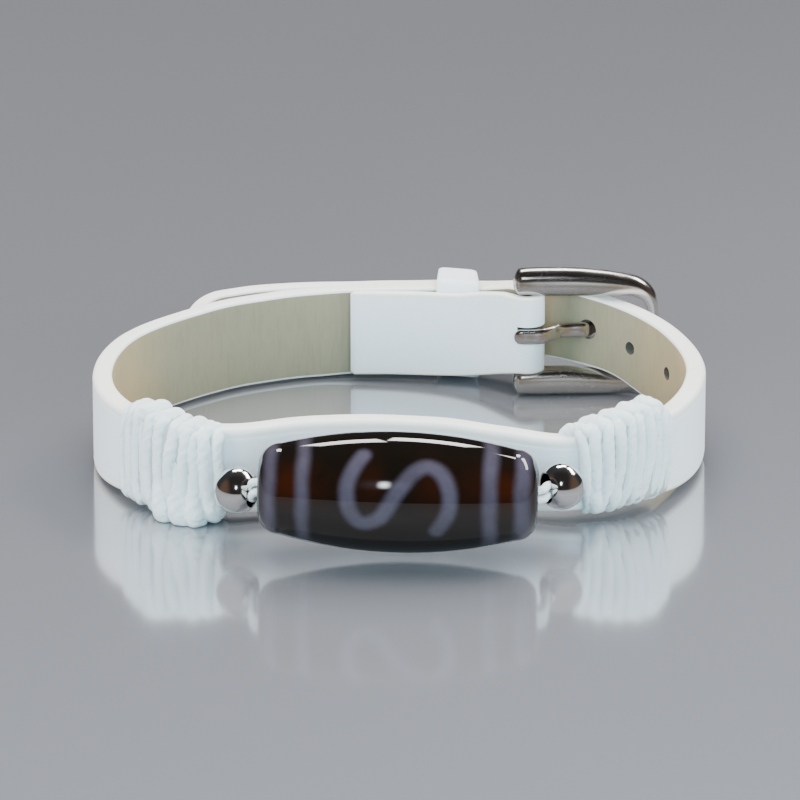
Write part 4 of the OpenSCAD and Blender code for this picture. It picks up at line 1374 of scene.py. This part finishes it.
def paint_room(settings):
    """The room seen in the polish: dark all round, browner at the sides, with three lamps behind and a
    slim spot in its halo in front. A second reflection sees it pale, and soft white light falls on every
    matt surface."""
    world = bpy.data.worlds.new("studio_room")
    bpy.context.scene.world = world
    world.use_nodes = True
    tree = world.node_tree
    tree.nodes.clear()
    out = tree.nodes.new("ShaderNodeOutputWorld")
    nodes = Nodes(tree)
    direction = nodes.add("ShaderNodeTexCoord").outputs["Generated"]
    x, y, z = nodes.split(direction)[:3]
    sides = nodes.ramp(nodes.maths("ABSOLUTE", x), 0.45, 0.85)
    front = nodes.blend(sides, colour((0.030, 0.026, 0.026)), colour((0.13, 0.085, 0.06)))
    back = nodes.ramp(y, -0.1, 0.3)
    mirror = nodes.blend(back, front, colour((0.045, 0.046, 0.050)))
    lamp = colour(LAMP_TINT, LAMP_POWER)
    for patch in LAMP_PATCHES:
        mirror = nodes.blend(light_patch(nodes, direction, *patch, 0.05), mirror, lamp)
    for size, power, tint in ((HALO_SIZE, 2.0, HALO_TINT), (SPOT_SIZE, 1.4, SPOT_TINT)):
        patch = light_patch(nodes, direction, *SPOT_AT, *size, 0.95)
        mirror = nodes.blend(nodes.maths("POWER", patch, power), mirror, colour(tint))
    path = nodes.add("ShaderNodeLightPath")
    again = nodes.maths("GREATER_THAN", path.outputs["Ray Depth"], 2.5)
    mirror = nodes.blend(again, mirror, colour((0.42, 0.42, 0.42)))
    soft = nodes.blend(nodes.ramp(z, -0.2, 0.9), colour((0.45, 0.46, 0.48)), colour((0.85, 0.85, 0.86)))
    seen = nodes.add("ShaderNodeBackground", None, Color=mirror, Strength=1.0).outputs[0]
    felt = nodes.add("ShaderNodeBackground", None, Color=soft, Strength=settings.surround).outputs[0]
    both = nodes.add("ShaderNodeMixShader", None, in0=path.outputs["Is Diffuse Ray"], in1=seen, in2=felt)
    nodes.feed(both.outputs[0], out.inputs[0])


def area_light(name, place, target, size, power, tint):
    """A soft lamp that lights the object but isn't mirrored in it."""
    data = bpy.data.lights.new(name, "AREA")
    data.shape = "RECTANGLE"
    data.size, data.size_y = size[0] * MM, size[1] * MM
    data.energy = power
    data.color = tint
    lamp = bpy.data.objects.new(name, data)
    bpy.context.scene.collection.objects.link(lamp)
    lamp.location = Vector(place) * MM
    aim = Vector(target) * MM - lamp.location
    lamp.rotation_euler = aim.to_track_quat("-Z", "Y").to_euler()
    lamp.visible_glossy = False


class BRACELET_OT_strap(bpy.types.Operator):
    """Builds the leather strap with its folded tab, slot, punched holes and rounded free end"""

    bl_idname = "bracelet.strap"
    bl_label = "Leather strap"

    def execute(self, context):
        strap = mesh_object("leather_strap", strap_skin(context.scene.bracelet_leather))
        cutters = []
        for k, (x, y, z, turn, width) in enumerate(PUNCHED_HOLES):
            direction = (math.cos(math.radians(turn)), math.sin(math.radians(turn)), 0.0)
            punch = rod_skin((x, y, z), direction, width / 2, 3 * STRAP_T, v=V_HOLE)
            cutters.append(mesh_object(f"punch_{k}", punch))
        half = (PRONG_H + SLOT_PLAY) / 2
        low, high = HINGE - (*SLOT_BEFORE, half), HINGE + (*SLOT_BEHIND, half)
        cutters.append(mesh_object("slot_cut", box_skin(low, high)))
        ring = rod_skin(HINGE, (0, 0, 1), PRONG_RING_R + 0.05, 2 * half)
        cutters.append(mesh_object("ring_cut", ring))
        cut(strap, cutters)
        finish_piece(strap, "white_leather", "leather", "strap")
        return {"FINISHED"}


class BRACELET_OT_keeper(bpy.types.Operator):
    """Builds the keeper loop round the strap and its free end"""

    bl_idname = "bracelet.keeper"
    bl_label = "Keeper"

    def execute(self, context):
        keeper = mesh_object("keeper_loop", keeper_skin())
        finish_piece(keeper, "white_leather", "leather", "strap_keeper")
        return {"FINISHED"}


class BRACELET_OT_buckle(bpy.types.Operator):
    """Builds the polished buckle frame with its hinge bar, and the prong"""

    bl_idname = "bracelet.buckle"
    bl_label = "Buckle"

    def execute(self, context):
        ring = mesh_object("buckle_ring", joined(frame_skins()))
        finish_piece(ring, "polished_steel", "steel", "buckle_frame")
        prong = mesh_object("prong_bent", joined(prong_skins()))
        finish_piece(prong, "polished_steel", "steel", "buckle_prong")
        return {"FINISHED"}


class BRACELET_OT_wraps(bpy.types.Operator):
    """Builds the two corded wraps, turn by turn"""

    bl_idname = "bracelet.wraps"
    bl_label = "Corded wraps"

    def execute(self, context):
        width = context.scene.bracelet_cord.strand_width / MM
        left = Wrap(WRAP_LEFT_X, WRAP_LEFT_ROWS, WRAP_LEFT_FOOT_ROUND)
        right = Wrap(WRAP_RIGHT_X, WRAP_RIGHT_ROWS, WRAP_RIGHT_FOOT_ROUND)
        for name, node, wrap, turns, knots, seed in (
            ("wrap_left_cord", "cord_wrap_left", left, TURNS_LEFT, KNOTS_LEFT, 5),
            ("wrap_right_cord", "cord_wrap_right", right, TURNS_RIGHT, KNOTS_RIGHT, 8),
        ):
            piece = mesh_object(name, wrap_skins(wrap, turns, knots, width, seed))
            finish_piece(piece, "waxed_cord", "cord", node)
        return {"FINISHED"}


class BRACELET_OT_bead(bpy.types.Operator):
    """Builds the drilled dzi bead with its bands and wave"""

    bl_idname = "bracelet.bead"
    bl_label = "Dzi bead"

    def execute(self, context):
        radius, level = bead_outline()
        bead = mesh_object("banded_bead", revolve(radius, level, BEAD_MID, bead_axes(), BEAD_SIDES))
        pale, warm = pattern_masks(context.scene.bracelet_bead)
        paint_attribute(bead.data, "pale", pale)
        paint_attribute(bead.data, "warm", warm)
        finish_piece(bead, "dzi_agate", "agate", "dzi_bead")
        return {"FINISHED"}


class BRACELET_OT_balls(bpy.types.Operator):
    """Builds the two drilled silver balls"""

    bl_idname = "bracelet.balls"
    bl_label = "Silver balls"

    def execute(self, context):
        for name, node, centre, yaw in (
            ("ball_left", "silver_ball_left", BALL_LEFT, -BALL_YAW),
            ("ball_right", "silver_ball_right", BALL_RIGHT, BALL_YAW),
        ):
            skin = ball_skin(centre, yaw)
            ball = mesh_object(name, skin)
            far = np.linalg.norm(skin[0] - centre, axis=1)
            paint_attribute(ball.data, "bore", 1 - smoothstep(BALL_R - 0.12, BALL_R - 0.03, far))
            finish_piece(ball, "polished_silver", "steel", node)
        return {"FINISHED"}


class BRACELET_OT_bead_cord(bpy.types.Operator):
    """Builds the two laid strands that run from wrap to wrap through the balls and the bead"""

    bl_idname = "bracelet.bead_cord"
    bl_label = "Bead cord"

    def execute(self, context):
        width = context.scene.bracelet_cord.bead_strand_width / MM
        for name, node, way in (
            ("strand_upper", "bead_cord_upper", 1),
            ("strand_lower", "bead_cord_lower", -1),
        ):
            path, side = bead_strand_path(way * STRAND_LIFT)
            piece = mesh_object(name, tube_skin(path, side, width / 2, STRAND_LAY, 0.03))
            finish_piece(piece, "waxed_cord", "cord", node)
        return {"FINISHED"}


class BRACELET_OT_finishes(bpy.types.Operator):
    """Makes the shared node groups and the materials of every piece"""

    bl_idname = "bracelet.finishes"
    bl_label = "Finishes"

    def execute(self, context):
        scene = context.scene
        grain, fibre, wear = grain_group(), fibre_group(), wear_group()
        leather_material(scene.bracelet_leather, grain)
        cord_material(scene.bracelet_cord, fibre)
        metal_material("polished_steel", scene.bracelet_metal.steel_colour, 0.22, wear)
        metal_material("polished_silver", scene.bracelet_metal.silver_colour, 0.09, wear, bore=True)
        agate_material(scene.bracelet_bead, wear)
        floor_material(scene.bracelet_studio)
        return {"FINISHED"}


class BRACELET_OT_stage(bpy.types.Operator):
    """Sets out the pale floor, the soft lamps and the camera"""

    bl_idname = "bracelet.stage"
    bl_label = "Studio"

    def execute(self, context):
        settings = context.scene.bracelet_studio
        steps = np.linspace(-FLOOR_HALF, FLOOR_HALF, 3)
        x, y = np.meshgrid(steps, steps, indexing="ij")
        floor = mesh_object("floor", grid_skin(np.stack([x, y, 0 * x], axis=-1) - PLACE, loop_columns=False))
        floor.data.materials.append(bpy.data.materials["pale_floor"])
        paint_room(settings)
        area_light("key_lamp", (-40, 60, 420), (0, 0, 0), (420, 320), settings.key_power, KEY_TINT)
        area_light("front_lamp", (60, -450, 165), (0, 0, 5), (420, 180), settings.front_power, FRONT_TINT)
        for side in (-1, 1):
            place = (side * 450, -240, 110)
            power = settings.side_power * (1 - 0.12 * side)
            area_light(f"side_lamp_{side + 1}", place, (0, 0, 5), (260, 180), power, SIDE_TINT)
        data = bpy.data.cameras.new("camera")
        data.lens = CAMERA_LENS
        data.sensor_width = CAMERA_SENSOR
        data.clip_start, data.clip_end = 0.05, 20.0
        camera = bpy.data.objects.new("camera", data)
        context.scene.collection.objects.link(camera)
        rise = math.radians(CAMERA_UP)
        away = CAMERA_AWAY * np.array([0.0, -math.cos(rise), math.sin(rise)])
        camera.location = Vector((LOOK_AT + away) * MM)
        camera.rotation_euler = (math.pi / 2 - rise, 0.0, 0.0)
        context.scene.camera = camera
        return {"FINISHED"}


class BRACELET_PT_panel(bpy.types.Panel):
    """Lists the builders and their settings"""

    bl_idname = "BRACELET_PT_panel"
    bl_label = "Bracelet"
    bl_space_type = "VIEW_3D"
    bl_region_type = "UI"
    bl_category = "Bracelet"

    def draw(self, context):
        for operator in OPERATORS:
            self.layout.operator(operator.bl_idname)
        for name in SETTINGS:
            box = self.layout.box()
            group = getattr(context.scene, name)
            for field in group.bl_rna.properties:
                if field.identifier not in ("rna_type", "name"):
                    box.prop(group, field.identifier)


SETTINGS = {
    "bracelet_leather": LeatherSettings,
    "bracelet_cord": CordSettings,
    "bracelet_bead": BeadSettings,
    "bracelet_metal": MetalSettings,
    "bracelet_studio": StudioSettings,
}
OPERATORS = [
    BRACELET_OT_finishes,
    BRACELET_OT_strap,
    BRACELET_OT_keeper,
    BRACELET_OT_buckle,
    BRACELET_OT_wraps,
    BRACELET_OT_bead,
    BRACELET_OT_balls,
    BRACELET_OT_bead_cord,
    BRACELET_OT_stage,
]


def register():
    """Registers the settings, the operators and the panel."""
    for kind in (*SETTINGS.values(), *OPERATORS, BRACELET_PT_panel):
        bpy.utils.register_class(kind)
    for name, kind in SETTINGS.items():
        setattr(bpy.types.Scene, name, PointerProperty(type=kind))


def unregister():
    """Takes out all that register put in."""
    for name in SETTINGS:
        delattr(bpy.types.Scene, name)
    for kind in reversed((*SETTINGS.values(), *OPERATORS, BRACELET_PT_panel)):
        bpy.utils.unregister_class(kind)


def main():
    """Builds everything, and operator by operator."""
    register()
    for operator in OPERATORS:
        group, name = operator.bl_idname.split(".")
        getattr(getattr(bpy.ops, group), name)()


if __name__ == "__main__":
    main()
